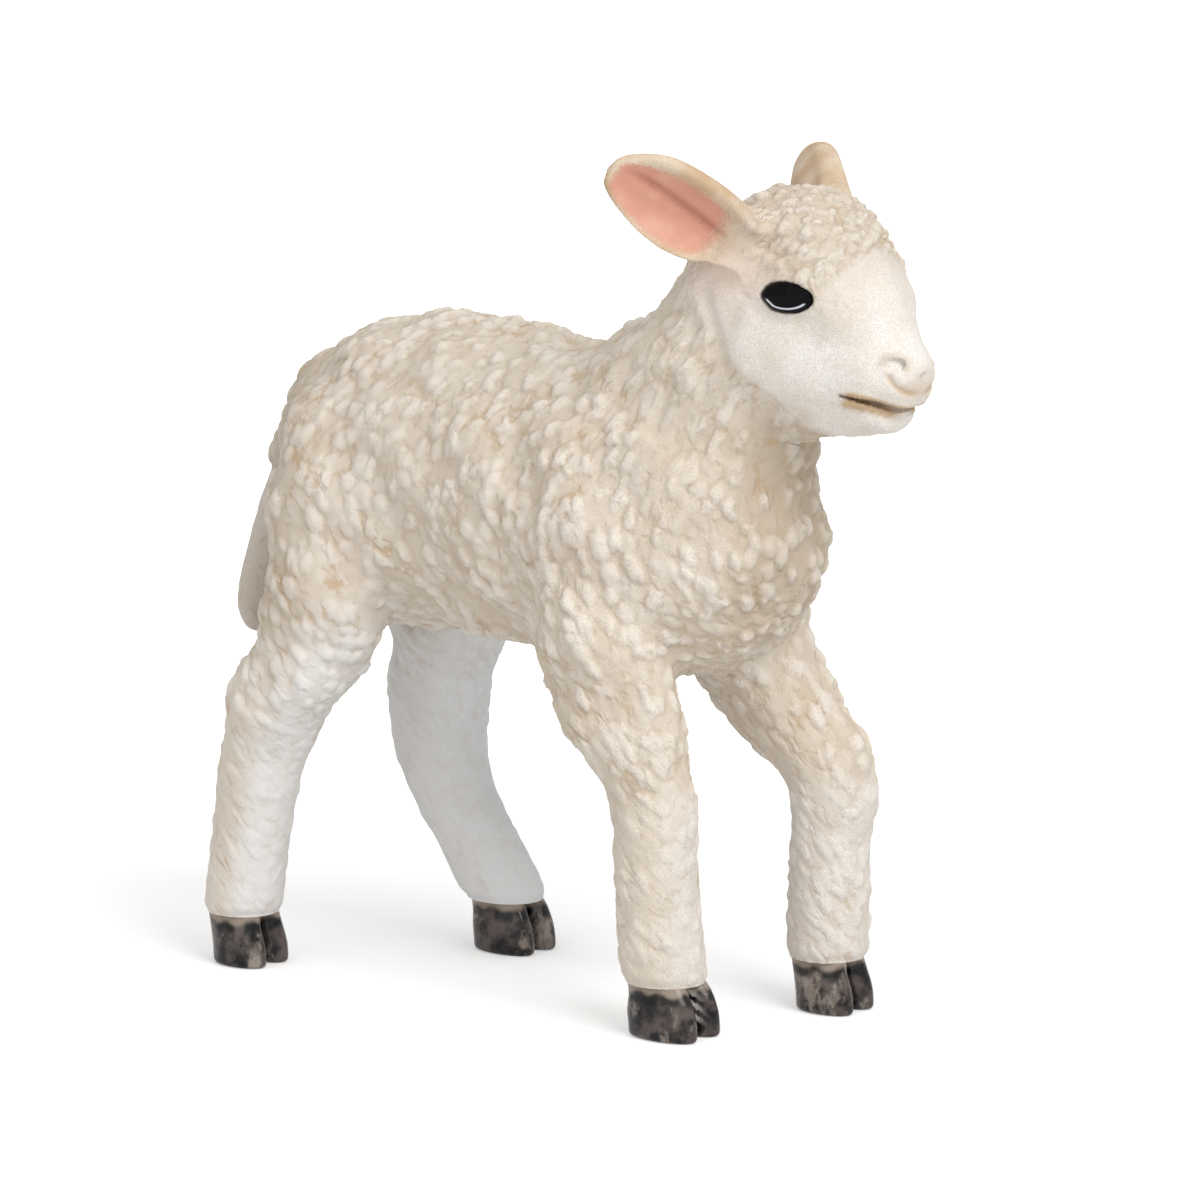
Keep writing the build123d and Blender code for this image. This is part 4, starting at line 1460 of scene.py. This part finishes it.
    def mark(self, skin: Skin, ears: list["Ear"], eyes: list["Eye"]) -> None:
        """Presses the face's lines, and marks wool and paint on the head.

        Args:
            skin: the head's surface.
            ears: the ears.
            eyes: the eyes.
        """
        self.body.dress(skin)
        leaf = np.max([ear.reach(skin.points) for ear in ears], axis=0)
        self.mark_wool(skin, leaf)
        for fold in self.folds:
            fold.apply(skin)
        ledge = np.maximum(*(stroke.apply(skin) for stroke in self.ledges))
        for fold in self.frown:
            fold.apply(skin)
        self.mark_mouth(skin, ledge)
        x, y, z = skin.points.T
        behind_ear = np.exp(-(((x - 15.5) ** 2 + (np.abs(y) - 6.5) ** 2 + (z - 62.0) ** 2) / 16.0))
        skin.marks["blush"] = 0.45 * behind_ear * (1.0 - leaf)
        for ear in ears:
            ear.mark(skin)
        for eye in eyes:
            eye.lids(skin)

    def mark_wool(self, skin: Skin, leaf: Array) -> None:
        """Marks wool, smooth face and painted shade on the head.

        Args:
            skin: the head's surface.
            leaf: how far each point belongs to an ear.
        """
        p = skin.points
        along, up, out = HEAD.read(p)
        wide = np.abs(out)
        tuft = ease(13.0, 12.2, along - 0.10 * wide) * ease(5.2, 7.6, up + 0.25 * wide)
        behind = ease(0.7, -0.9, (p[:, 0] - 17.0) * 0.62 + (p[:, 2] - 53.5) * 0.60 - 0.6 + 0.05 * wide)
        poll = ease(4.0, 1.0, along)
        wool = np.clip(np.maximum(np.maximum(tuft, 0.85 * behind), 0.8 * poll), 0.0, 1.0)
        wool *= 1.0 - leaf
        skin.push(lock_rise(p) * np.clip(behind, 0.0, 1.0) * (1.0 - leaf) + 0.25 * tuft - 0.06)
        lay, crown = skin.marks["lay"], wool_lay(np.array([[17.0, 0.0, 66.0]]))
        skin.marks["lay"] = lay + 0.4 * ease(58.0, 62.0, p[:, 2])[:, None] * (lay - crown)
        skin.marks["wool"] = (0.12 + 0.66 * wool) * (1.0 - 0.8 * leaf)
        # Painted shade on the brow: less white face paint and more of the darker, browner tone.
        brow = ease(18.5, 12.0, along) * ease(0.5, 4.5, up) * (1.0 - leaf)
        face = np.clip(1.0 - 1.15 * wool, 0.0, 1.0) * ease(1.0, 9.0, along + 0.25 * wide) * (1.0 - leaf)
        skin.marks["face"] = face * (1.0 - 0.75 * brow)
        skin.marks["painted_shade"] += 0.30 * brow

    def mark_mouth(self, skin: Skin, ledge: Array) -> None:
        """Shapes lips and nostrils, and marks their paint.

        Args:
            skin: the head's surface.
            ledge: how strongly each point feels the ledge over the face.
        """
        self.lip.apply(skin)
        lower = self.under.apply(skin)
        chips = 0.5 + 0.5 * np.sin(9.0 * skin.points[:, 0] + 3.0 * np.sin(7.0 * skin.points[:, 2]))
        skin.push(0.06 * lower * (chips - 0.5) * 2.0)
        groove, crease, _, wing = [stroke.apply(skin) for stroke in self.nose]
        q = skin.points
        along, up, _ = HEAD.read(q)
        ragged = 1.0 + 0.3 * np.sin(11.0 * q[:, 0] + 4.0 * np.sin(5.0 * q[:, 1]))
        reach = ease(17.7, 18.6, along)
        mouth = self.gap(0.36).weight(q) * ragged * (0.55 + 0.45 * ease(18.5, 21.0, along))
        drop, spot = (stroke.weight(q) for stroke in self.pits)
        stain = reach * np.clip(2.6 * mouth - 0.8, 0, 1) * 0.95
        skin.marks["stain"] = stain + 0.35 * drop + 0.8 * spot + 0.10 * ledge
        upper = Stroke(self.lip.path, 0.16, 0.0, across=0.25).weight(q) * 0.55
        tan = reach * (0.8 * self.gap(0.55).weight(q) + 1.1 * lower * (0.45 + 0.55 * chips) + upper)
        tan += 0.55 * crease + 0.5 * groove + 0.45 * wing + 0.3 * ledge
        pad = np.exp(-(((along - 22.2) / 1.2) ** 2 + ((up - 2.0) / 1.3) ** 2)) * 0.45
        skin.marks["tan"] = np.clip(tan + pad, 0.0, 0.9)


@dataclass
class Ear:
    """One ear: a cupped leaf, whose root is part of the head."""

    side: Side
    root: Row
    heading: Row
    opening: Row
    length: float = 11.7
    width: float = 6.8
    seam: float = 0.2
    profile: tuple[Row, ...] = (
        (-0.35, 0.16, 0.20, 0.00, 2.4), (-0.16, 0.20, 0.30, 0.00, 2.5), (0.00, 0.26, 0.38, 0.50, 2.2),
        (0.12, 0.36, 0.44, 0.95, 1.7), (0.26, 0.46, 0.485, 1.20, 1.30), (0.42, 0.50, 0.505, 1.30, 1.10),
        (0.58, 0.48, 0.50, 1.20, 1.00), (0.72, 0.42, 0.455, 0.95, 0.95), (0.84, 0.335, 0.36, 0.65, 0.90),
        (0.93, 0.235, 0.25, 0.35, 0.85), (0.98, 0.14, 0.14, 0.12, 0.80), (1.00, 0.02, 0.02, 0.00, 0.80),
    )

    def axes(self) -> tuple[Array, Array, Array]:
        """Gives the ear's directions: along it, across it and out of its cup."""
        along = unit(np.array(self.heading))
        across = unit(np.cross(np.array(self.opening), along)) * self.side.value
        return along, across, unit(np.cross(along, across)) * self.side.value

    def place(self, share: float, across: float = 0.0, out: float = 0.0) -> Row:
        """Gives a point at a share of the ear's length and at distances across and out."""
        a, w, o = self.axes()
        return tuple(np.array(self.root) + a * share * self.length + w * across + o * out)

    def read(self, points: Array) -> tuple[Array, ...]:
        """Reads where points lie on the ear.

        Args:
            points: rows of x, y and z.

        Returns:
            Share of the ear's length, place across from -1 to 1, height over the leaf, the leaf's
            slope, its thickness and half its width, each with one value for each point.
        """
        a, w, o = self.axes()
        local = points - np.array(self.root)
        share = local @ a / self.length
        rows = smooth_rows(list(self.profile), 4)
        low, high, deep, thick = (np.interp(share, rows[:, 0], rows[:, k]) for k in (1, 2, 3, 4))
        across = local @ w
        half = self.width * np.where(across > 0, high, low)
        u = across / np.maximum(half, 0.05)
        v = np.clip(np.abs(u), 0.0, 1.15)
        bowl = -deep * (1.0 - v**2.2) * (1.0 - 0.3 * np.clip(u, -1, 1)) - 0.3
        slope = deep * 2.2 * v**1.2 / np.maximum(half, 0.3)
        thick = thick * (1.0 + 0.45 * np.exp(-(((u - 0.86) / 0.22) ** 2)) * ease(0.9, 0.6, share))
        return share, u, local @ o - bowl, slope, thick, half

    def reach(self, points: Array) -> Array:
        """Gives how far each point belongs to the ear, from 0 on the head to 1 on the leaf."""
        share, u, height = self.read(points)[:3]
        near = (np.abs(height) < 1.6) & (np.abs(u) < 1.3) & (share < 1.1)
        return np.where(near, ease(-0.05, 0.16, share), 0.0)

    def mark(self, skin: Skin) -> None:
        """Marks the cup, the root and the fold, whose darker pink is painted shade, and presses the fold.

        Args:
            skin: the surface of head and ears.
        """
        share, u, height = self.read(skin.points)[:3]
        on = self.reach(skin.points)
        rim = np.where(u > 0, np.abs(u) / 0.78, np.abs(u) / 0.97)
        inner = ease(-0.05, 0.18, height) * ease(1.06, 0.66, rim)
        inner *= ease(0.0, 0.24, share - 0.15 * u * u)
        inner *= ease(1.0, 0.9, share)
        skin.marks["cup"] = np.maximum(skin.marks["cup"], inner * (on > 0))
        skin.marks["root"] = np.maximum(skin.marks["root"], on)
        middle = -0.05 + 0.36 * share
        # The fold's mark paints a darker pink shade line.
        fold = np.exp(-(((u - middle) / 0.13) ** 2)) * ease(0.0, 0.2, share) * ease(0.95, 0.7, share)
        skin.marks["fold"] = np.maximum(skin.marks["fold"], fold * inner)
        skin.push(-0.22 * fold * inner)

    def owns(self, points: Array) -> tuple[Array, Array]:
        """Tells which points are on the ear or its root, and gives their share along it."""
        share, u, height = self.read(points)[:3]
        return (np.abs(u) < 1.5) & (np.abs(height) < 2.2) & (share < 1.15) & (share > -0.2), share

    def seam_cut(self) -> Cut:
        """Gives the seam between the ear and the head, whose normal points to the tip."""
        return Cut(self.place(self.seam), tuple(self.axes()[0]))


@dataclass
class Leaf:
    """The form of an ear for a block."""

    ear: Ear
    blend: float = 1.5
    edge: float = 0.7

    def box(self, margin: float) -> tuple[Array, Array]:
        """Gives the lowest and highest corner of the form with a margin."""
        ends = np.array([self.ear.place(-0.35), self.ear.place(1.0)])
        return ends.min(0) - 0.6 * margin - 2.6, ends.max(0) + 0.6 * margin + 2.6

    def distance(self, points: Array) -> Array:
        """Gives each point's rough distance from the leaf's skin, below zero inside.

        Args:
            points: rows of x, y and z.

        Returns:
            One distance for each point.
        """
        share, u, height, slope, thick, half = self.ear.read(points)
        shell = (np.abs(height) - 0.5 * thick) / np.sqrt(1.0 + slope**2)
        rim = (np.abs(u) - 1.0) * half
        steep = np.clip((share - 0.6) / 0.4, 0.0, 1.0) * 1.2
        rim = rim / np.sqrt(1.0 + steep**2)
        beyond = (share - 1.0) * self.ear.length
        before = (-0.08 - share) * self.ear.length
        rim = np.maximum(np.maximum(rim, beyond), before)
        h = np.clip(0.5 - 0.5 * (rim - shell) / self.edge, 0.0, 1.0)
        return rim + (shell - rim) * h + self.edge * h * (1.0 - h)


@dataclass
class Eye:
    """One eye: a flat-topped bead with a rounded edge, set in a socket in the head."""

    side: Side
    centre: Row = (21.2, 5.85, 59.72)
    heading: Row = (0.38, 0.91, 0.14)
    slant: Row = (0.92, -0.36, -0.05)
    half_length: float = 2.14
    half_height: float = 1.22
    bulge: float = 0.10
    edge: float = 0.30
    wall: float = 0.985
    sunk: float = 0.70
    gap: float = 0.03

    def axes(self) -> tuple[Array, Array, Array]:
        """Gives the eye's directions: along it, up it and out of the head."""
        s = self.side.value
        out = unit(np.array((self.heading[0], s * self.heading[1], self.heading[2])))
        along = np.array((self.slant[0], s * self.slant[1], self.slant[2]))
        along = unit(along - out * (along @ out))
        return along, np.cross(out, along) * -s, out

    def middle(self) -> Array:
        """Gives the eye's middle in the lamb's axes."""
        return np.array((self.centre[0], self.side.value * self.centre[1], self.centre[2]))

    def outline(self, angle: Array) -> tuple[Array, Array]:
        """Gives the almond's outline.

        Args:
            angle: angles round the eye's middle.

        Returns:
            The distances along and up at each angle.
        """
        c, s = np.cos(angle), np.sin(angle)
        point = 1.0 + 0.05 * np.exp(-(((angle - math.pi) / 0.16) ** 2))
        along = self.half_length * c * point
        lean = np.where(s > 0, 0.95 - 0.08 * c, 0.98 - 0.25 * ease(-0.55, -0.95, c))
        return along, self.half_height * s * lean

    def spread(self, a: Array, b: Array) -> Array:
        """Gives how far out points are, where 1 is on the outline.

        Args:
            a: distances along the eye.
            b: distances up it.

        Returns:
            The share of the way to the outline for each point.
        """
        angle = np.mod(np.arctan2(b / self.half_height, a / self.half_length), 2 * math.pi)
        for _ in range(3):
            x, y = self.outline(angle)
            angle = np.mod(angle + np.arctan2(a * -y + b * x, a * x + b * y) * 0.8, 2 * math.pi)
        x, y = self.outline(angle)
        return np.hypot(a, b) / np.maximum(np.hypot(x, y), 1e-6)

    def read(self, points: Array) -> tuple[Array, Array, Array]:
        """Gives each point's distances along and up the eye, and out from the head's surface."""
        local = points - self.middle()
        along, up, out = self.axes()
        a, b = local @ along, local @ up
        return a, b, local @ out - self.surface(a, b)

    def surface(self, a: Array, b: Array) -> Array:
        """Gives the height of the head's surface at distances along and up."""
        terms = np.stack([np.ones_like(a), a, b, a * a, a * b, b * b], -1)
        return terms @ self.fit

    def seat(self, block: Block) -> None:
        """Finds the head's surface round the eye.

        Args:
            block: the head's block.
        """
        along, up, out = self.axes()
        steps, reach = np.linspace(-2.5, 2.5, 101), 1.1
        spots, heights = [], []
        for a in np.linspace(-reach, reach, 9) * self.half_length:
            for b in np.linspace(-reach, reach, 7) * self.half_height:
                line = self.middle() + a * along + b * up + steps[:, None] * out
                inside = block.sample(line) < 0
                if inside.any():
                    spots.append((1.0, a, b, a * a, a * b, b * b))
                    heights.append(steps[np.nonzero(inside)[0].max()])
        self.fit = np.linalg.lstsq(np.array(spots), np.array(heights), rcond=None)[0]
        LOG.info("eye %s: surface %s", self.side.name, self.fit.round(2))

    def lids(self, skin: Skin) -> None:
        """Raises the lids round the socket and presses a soft fold round them.

        Args:
            skin: the head's surface.
        """
        a, b, height = self.read(skin.points)
        near = (np.abs(a) < 5.0) & (np.abs(b) < 4.0) & (np.abs(height) < 1.4)
        spread = np.full(len(a), 9.0)
        spread[near] = self.spread(a[near], b[near])
        lid = np.where(near, np.exp(-(((spread - 1.14) / 0.11) ** 2)), 0.0)
        fold = np.where(near & (b > -0.4), np.exp(-(((spread - 1.75) / 0.20) ** 2)), 0.0)
        under = np.where(near & (b < 0), np.exp(-(((spread - 1.7) / 0.25) ** 2)), 0.0)
        skin.push(0.10 * lid - 0.10 * fold - 0.07 * under)

    def build(self, name: str, paint: bpy.types.Material) -> None:
        """Builds the eye's object.

        Args:
            name: the object's name.
            paint: its material.
        """
        along, up, out = self.axes()
        angle = np.linspace(0, 2 * math.pi, 128, endpoint=False)
        a, b = self.outline(angle)
        below = np.clip(-np.sin(angle), 0.0, 1.0)
        flat = 0.87 - below * (0.13 + 0.05 * np.cos(angle))
        wall, foot, top = self.wall, 0.02, self.edge
        rows = [(0.90, -self.sunk, 0.0), (wall, -self.sunk + 0.12, 0.0), (wall, -0.2, 0.0), (wall, foot, 0.0)]
        for t in np.linspace(0.0, 0.5 * math.pi, 9):
            share = wall - (wall - flat) * (1.0 - math.cos(t))
            rows.append((share, foot + top * math.sin(t), 0.5 if t > 1.3 else 0.0))
        rows[-1] = (rows[-1][0], rows[-1][1], 1.0)
        for share in (0.955, 0.91, 0.86, 0.78, 0.66, 0.50, 0.33, 0.16, 0.04):
            rise = foot + top + self.bulge * (1.0 - share**2)
            rows.append((share * flat, rise, 0.7 if share > 0.95 else 0.0))
        # Painted reflection: a thin white arc along the lower edge of the flat top.
        arc = ease(3.42, 3.62, angle) * ease(5.98, 5.78, angle)
        points, glint = [], []
        for share, height, shine in rows:
            x, y = share * a, share * b
            lift = height + self.surface(x, y)
            points.append(self.middle() + x[:, None] * along + y[:, None] * up + lift[:, None] * out)
            glint.append(arc * shine)
        n = len(angle)
        quads, ring = [], np.arange(n)
        for r in range(len(rows) - 1):
            a0, b0 = r * n + ring, r * n + (ring + 1) % n
            quads.append(np.stack([a0, b0, b0 + n, a0 + n], 1))
        skin = Skin(np.concatenate(points), np.concatenate(quads), {"glint": np.concatenate(glint)})
        obj = mesh_object(name, skin)
        bm = bmesh.new()
        bm.from_mesh(obj.data)
        bmesh.ops.holes_fill(bm, edges=[e for e in bm.edges if e.is_boundary], sides=0)
        bmesh.ops.recalc_face_normals(bm, faces=bm.faces)
        bm.to_mesh(obj.data)
        bm.free()
        obj.data.materials.append(paint)
        smooth_piece(obj)
        hand_over(obj, f"eye_{self.side.name.lower()}")


@dataclass
class Almond:
    """The socket of an eye, as a form for a block."""

    eye: Eye
    blend: float = 0.1

    def box(self, margin: float) -> tuple[Array, Array]:
        """Gives the lowest and highest corner of the form with a margin."""
        return self.eye.middle() - 3.4 - margin, self.eye.middle() + 3.4 + margin

    def distance(self, points: Array) -> Array:
        """Gives each point's rough distance from the socket's wall, below zero inside."""
        a, b, height = self.eye.read(points)
        wall = (self.eye.spread(a, b) - 1.0) * self.eye.half_height * 1.15 - self.eye.gap
        floor = -(height + self.eye.sunk + self.eye.gap)
        return np.maximum(wall, floor)


@dataclass
class Hoof:
    """One cloven hoof: two claws side by side under a band."""

    place: tuple[float, float]
    share: tuple[float, float] = (1.0, 1.0)
    chipped: bool = False
    claw_gap: float = 1.55
    edge: float = 0.5
    step: float = 0.39

    def sculpt(self) -> Skin:
        """Sculpts the hoof.

        Returns:
            The surface with its marks.
        """
        x, y = self.place
        block = Block((x - 5.5, y - 5.0, -1.5), (x + 6.5, y + 5.0, 6.5), self.step)
        for side in Side:
            long, wide = self.share
            gap = side.value * self.claw_gap * wide
            rows = [
                (x + 1.0 * long, y + gap, -0.2, 1.58 * wide, 3.3 * long),
                (x + 0.95 * long, y + gap, 1.2, 1.62 * wide, 3.3 * long),
                (x + 0.5 * long, y + 0.97 * gap, 2.7, 1.62 * wide, 3.1 * long),
                (x + 0.1, y + 0.85 * gap, 3.9, 1.42 * wide, 2.55), (x, y + 0.9 * gap, 5.0, 1.5 * wide, 2.6),
            ]
            block.add(Form(rows, 0.45, caps=(0.6, 0.5)))
        block.refine(3)
        cleft = [(x + 3.2, y, -0.5, 0.16, 1.5), (x + 2.9, y, 2.0, 0.14, 1.3), (x + 2.3, y, 4.2, 0.10, 1.0)]
        block.carve(Form(cleft, 0.15))
        floor = block.low[2] + block.step * np.arange(block.values.shape[2])
        ground = -floor[None, None, :]
        h = np.clip(0.5 - 0.5 * (block.values - ground) / self.edge, 0.0, 1.0)
        block.values = block.values + (ground - block.values) * h + self.edge * h * (1.0 - h)
        skin = block.skin()
        skin.points[:, 2] = np.maximum(skin.points[:, 2], 0.0)
        px, py, pz = skin.points.T
        cut = np.exp(-(((py - y) / 0.28) ** 2)) * ease(x - 1.0, x + 1.5, px)
        ring = 0.9 * ease(2.75, 3.25, pz) * ease(3.95, 3.65, pz)
        ring *= ease(-0.9, 0.1, np.sin(1.9 * px + 2.3 * py))
        chip = self.chipped * np.exp(-(((py - y - 0.12) / 0.34) ** 2)) * ease(x + 0.8, x + 1.6, px)
        broken = np.sin(6.0 * pz + 9.0 * py) + 0.3 * np.sin(17.0 * pz)
        skin.marks = {
            "turn": skin.normals(),
            "cleft": np.clip(1.2 * cut + ring, 0.0, 1.0),
            "band": ease(3.55, 4.05, pz + 0.15 * np.sin(3.0 * px) + 0.1 * np.sin(5.0 * py)),
            "chip": chip * ease(0.9, 1.8, pz) * ease(-0.1, 0.3, broken),
        }
        return skin

    def build(self, name: str, node: str, paint: bpy.types.Material) -> None:
        """Builds the hoof's object.

        Args:
            name: the object's name.
            node: the node that it replaces.
            paint: its material.
        """
        obj = mesh_object(name, self.sculpt())
        obj.data.materials.append(paint)
        trimmer = Trimmer(obj.data)
        trimmer.cut(HOOF_SEAM)
        trimmer.finish()
        hand_over(obj, node)


@dataclass
class Tail:
    """The flat tail that hangs on the rump."""

    rows: list[Row] = field(default_factory=lambda: [
        (-30.4, 0, 46.2, 1.7, 1.2), (-31.9, 0, 43.0, 2.2, 1.5), (-33.6, 0, 39.2, 2.6, 1.7),
        (-35.1, 0, 35.0, 2.8, 1.75), (-36.3, 0, 31.0, 2.95, 1.75), (-36.9, 0, 28.6, 2.8, 1.65),
        (-36.9, 0, 27.2, 2.3, 1.3),
    ])

    def build(self, name: str, wool: Wool, paint: bpy.types.Material) -> None:
        """Builds the tail's object.

        Args:
            name: the object's name.
            wool: the wool to grow.
            paint: its material.
        """
        block = Block((-41.0, -6.0, 22.0), (-25.0, 6.0, 51.0), 0.72)
        block.add(Form(self.rows, 1.0))
        block.refine(3)
        skin = block.skin()
        rise = ease(36.0, 44.0, skin.points[:, 2])
        # Towards the tail's foot: a paler tone and painted shade.
        skin.marks = {
            "wool": 0.10 + 0.7 * rise, "lay": wool_lay(skin.points), "pale_and_lit": 0.22 * (1.0 - rise),
            "painted_shade": 0.75 - 0.45 * rise,
        }
        skin.blank(*PLAIN_MARKS, "fine")
        obj = mesh_object(name, skin)
        wool.grow(obj, paint)
        smooth_piece(obj)
        hand_over(obj, "tail")


class Figurine:
    """The whole lamb."""

    hoof_shares = {
        "foreleg_right": (0.97, 0.97), "foreleg_left": (0.80, 0.90),
        "hindleg_right": (0.78, 0.90), "hindleg_left": (0.90, 0.92),
    }
    leg_room = 7.5

    def __init__(self) -> None:
        """Mixes the paints."""
        effects = Effects()
        self.wool_paint = WoolPaint().build(effects)
        self.ear_paint = EarPaint().build(effects)
        self.hoof_paint = HoofPaint().build(effects)
        self.eye_paint = EyeGloss().build(effects)
        self.wool = Wool()
        self.body = Body()

    def build(self) -> None:
        """Builds every piece."""
        self.build_head()
        self.build_torso()
        self.build_legs()
        Tail().build("dock", self.wool, self.wool_paint)

    def grown(self, name: str, skin: Skin) -> bpy.types.Object:
        """Makes an object from a sculpted skin and grows wool on it.

        Args:
            name: the object's name.
            skin: the skin with its marks.

        Returns:
            The object.
        """
        obj = mesh_object(name, skin)
        self.wool.grow(obj, self.wool_paint)
        return obj

    def build_head(self) -> None:
        """Builds head, ears and eyes."""
        ears = [
            Ear(Side.RIGHT, (16.56, -6.12, 63.24), (-0.68, -0.52, 0.52), (0.57, -0.80, -0.06)),
            Ear(Side.LEFT, (16.56, 6.12, 63.24), (-0.65, 0.66, 0.38), (0.30, 0.93, -0.20)),
        ]
        eyes = [Eye(side) for side in Side]
        skin = Head(self.body).sculpt(ears, eyes)
        for eye in eyes:
            eye.build(f"bead_{eye.side.name.lower()}", self.eye_paint)
        obj = self.grown("face", skin)
        keep_normals(obj.data)
        for ear in ears:
            hand = ear.side.name.lower()
            leaf = bpy.data.objects.new(f"leaf_{hand}", obj.data.copy())
            bpy.context.scene.collection.objects.link(leaf)
            trimmer = Trimmer(leaf.data)
            trimmer.part(ear, True)
            trimmer.finish()
            leaf.data.materials.clear()
            leaf.data.materials.append(self.ear_paint)
            hand_over(leaf, f"ear_{hand}")
        trimmer = Trimmer(obj.data)
        trimmer.cut(NECK_SEAM.turned())
        for ear in ears:
            trimmer.part(ear, False)
        trimmer.finish()
        hand_over(obj, "head")

    def build_torso(self) -> None:
        """Builds the torso between the neck's seam and the tops of the legs."""
        block = self.body.pour((-38.0, -16.0, 23.2), (22.0, 16.0, 58.5), 0.78, 3)
        skin = block.skin()
        self.body.dress(skin)
        self.body.crease(skin)
        obj = self.grown("barrel", skin)
        trimmer = Trimmer(obj.data)
        trimmer.cut(NECK_SEAM)
        trimmer.cut(LEG_SEAM.turned())
        trimmer.finish()
        hand_over(obj, "torso")

    def build_legs(self) -> None:
        """Builds each leg with its hoof."""
        for name, rows in self.body.legs.items():
            position, hand = name.split("_")
            table = np.array(rows)
            low = table[:8, :3].min(0) - self.leg_room
            high = table[:8, :3].max(0) + self.leg_room
            low[1], high[1] = (1.0, 16.0) if hand == "left" else (-16.0, -1.0)
            low[2], high[2] = 1.5, LEG_SEAM.point[2] + 1.5
            skin = self.body.pour(tuple(low), tuple(high), 0.66, 3).skin()
            self.body.dress(skin)
            self.body.crease(skin)
            obj = self.grown(f"limb_{position[:4]}_{hand}", skin)
            trimmer = Trimmer(obj.data)
            trimmer.cut(LEG_SEAM)
            trimmer.cut(HOOF_SEAM.turned())
            trimmer.finish()
            hand_over(obj, name)
            x, y = (float(np.interp(HOOF_SEAM.point[2], table[:4, 2], table[:4, axis])) for axis in (0, 1))
            hoof = Hoof((x, y), self.hoof_shares[name], name == "foreleg_right")
            hoof.build(f"claws_{position[:4]}_{hand}", f"hoof_{position[:4]}_{hand}", self.hoof_paint)


# --- Studio ---


@dataclass(frozen=True)
class Lamp:
    """A soft square lamp: its angles in degrees, the side of its square in metres and its watts."""

    name: str
    azimuth: float
    elevation: float
    size: float
    power: float


@dataclass
class Studio:
    """Floor, light and camera."""

    azimuth: float = 37.5
    elevation: float = 10.5
    distance: float = 600.0
    target: Row = (0.0, -2.1, 33.0)
    lens: float = 225.0
    grey: Row = (0.80, 0.80, 0.80, 1.0)
    white: Row = (1.0, 1.0, 1.0, 1.0)
    room_light: float = 0.50
    lamp_distance: float = 900.0
    lamps: tuple[Lamp, ...] = (
        Lamp("key lamp", 72.0, 42.0, 0.5, 4.6), Lamp("fill lamp", 5.0, 18.0, 0.9, 1.5),
        Lamp("top lamp", 20.0, 80.0, 0.8, 1.0),
    )

    def place(self, azimuth: float, elevation: float, distance: float) -> Vector:
        """Gives a place round the target.

        Args:
            azimuth: its angle round the lamb in degrees.
            elevation: its angle above the floor in degrees.
            distance: how far it is from the target in millimetres.

        Returns:
            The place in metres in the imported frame.
        """
        a, e = math.radians(azimuth), math.radians(elevation)
        back = np.array([math.sin(a) * math.cos(e), -math.cos(a) * math.cos(e), math.sin(e)])
        return Vector((np.array(self.target) + SHIFT + back * distance) * MM)

    def floor(self) -> None:
        """Lays a pale floor that keeps the lamb's shadow."""
        bm = bmesh.new()
        bmesh.ops.create_grid(bm, x_segments=2, y_segments=2, size=4.0)
        mesh = bpy.data.meshes.new("floor")
        bm.to_mesh(mesh)
        bm.free()
        obj = bpy.data.objects.new("floor", mesh)
        bpy.context.scene.collection.objects.link(obj)
        material = bpy.data.materials.new("Pale floor")
        tree = empty_tree(material)
        matte = tree.add("ShaderNodeBsdfDiffuse", {}, {"Color": self.grey})
        spot = tree.add("ShaderNodeTexCoord").outputs["Object"]
        away = tree.add("ShaderNodeVectorMath", {"operation": "LENGTH"}, {0: spot}).outputs["Value"]
        lift = tree.ramp(away, 0.03, 0.17, 0.38, 1.0)
        strength = tree.product(tree.seen(), lift)
        glow = tree.add("ShaderNodeEmission", {}, {"Color": self.white, "Strength": strength})
        both = tree.add("ShaderNodeAddShader", {}, {0: matte.outputs[0], 1: glow.outputs[0]})
        tree.add("ShaderNodeOutputMaterial", {}, {"Surface": both.outputs[0]})
        mesh.materials.append(material)

    def world(self) -> None:
        """Fills the room with even light."""
        world = bpy.data.worlds.new("Studio")
        bpy.context.scene.world = world
        tree = empty_tree(world)
        strength = tree.math("ADD", self.room_light, tree.product(tree.seen(), 1.0 - self.room_light))
        back = tree.add("ShaderNodeBackground", {}, {"Color": self.white, "Strength": strength})
        tree.add("ShaderNodeOutputWorld", {}, {"Surface": back.outputs[0]})

    def hang(self, obj: bpy.types.Object, azimuth: float, elevation: float, distance: float) -> None:
        """Hangs a lamp or a camera round the lamb, facing it.

        Args:
            obj: the object to hang.
            azimuth: its angle round the lamb in degrees.
            elevation: its angle above the floor in degrees.
            distance: how far it is from the target in millimetres.
        """
        obj.location = self.place(azimuth, elevation, distance)
        aim = self.place(0, 0, 0) - obj.location
        obj.rotation_euler = aim.to_track_quat("-Z", "Y").to_euler()
        bpy.context.scene.collection.objects.link(obj)

    def light(self, lamp: Lamp) -> None:
        """Hangs a lamp."""
        light = bpy.data.lights.new(lamp.name, "AREA")
        light.size = lamp.size
        light.energy = lamp.power
        self.hang(bpy.data.objects.new(lamp.name, light), lamp.azimuth, lamp.elevation, self.lamp_distance)

    def camera(self) -> None:
        """Sets the camera at the photograph's angle."""
        data = bpy.data.cameras.new("camera")
        data.lens, data.sensor_width, data.sensor_fit = self.lens, 36.0, "HORIZONTAL"
        data.clip_start, data.clip_end = 0.01, 20.0
        obj = bpy.data.objects.new("camera", data)
        self.hang(obj, self.azimuth, self.elevation, self.distance)
        bpy.context.scene.camera = obj

    def build(self) -> None:
        """Sets up the studio."""
        self.floor()
        self.world()
        for lamp in self.lamps:
            self.light(lamp)
        self.camera()
        bpy.context.scene.view_settings.view_transform = "Standard"


def main() -> None:
    """Builds the lamb and its studio."""
    logging.basicConfig(level=logging.INFO, format="%(name)s: %(message)s")
    Figurine().build()
    Studio().build()


if __name__ == "__main__":
    main()
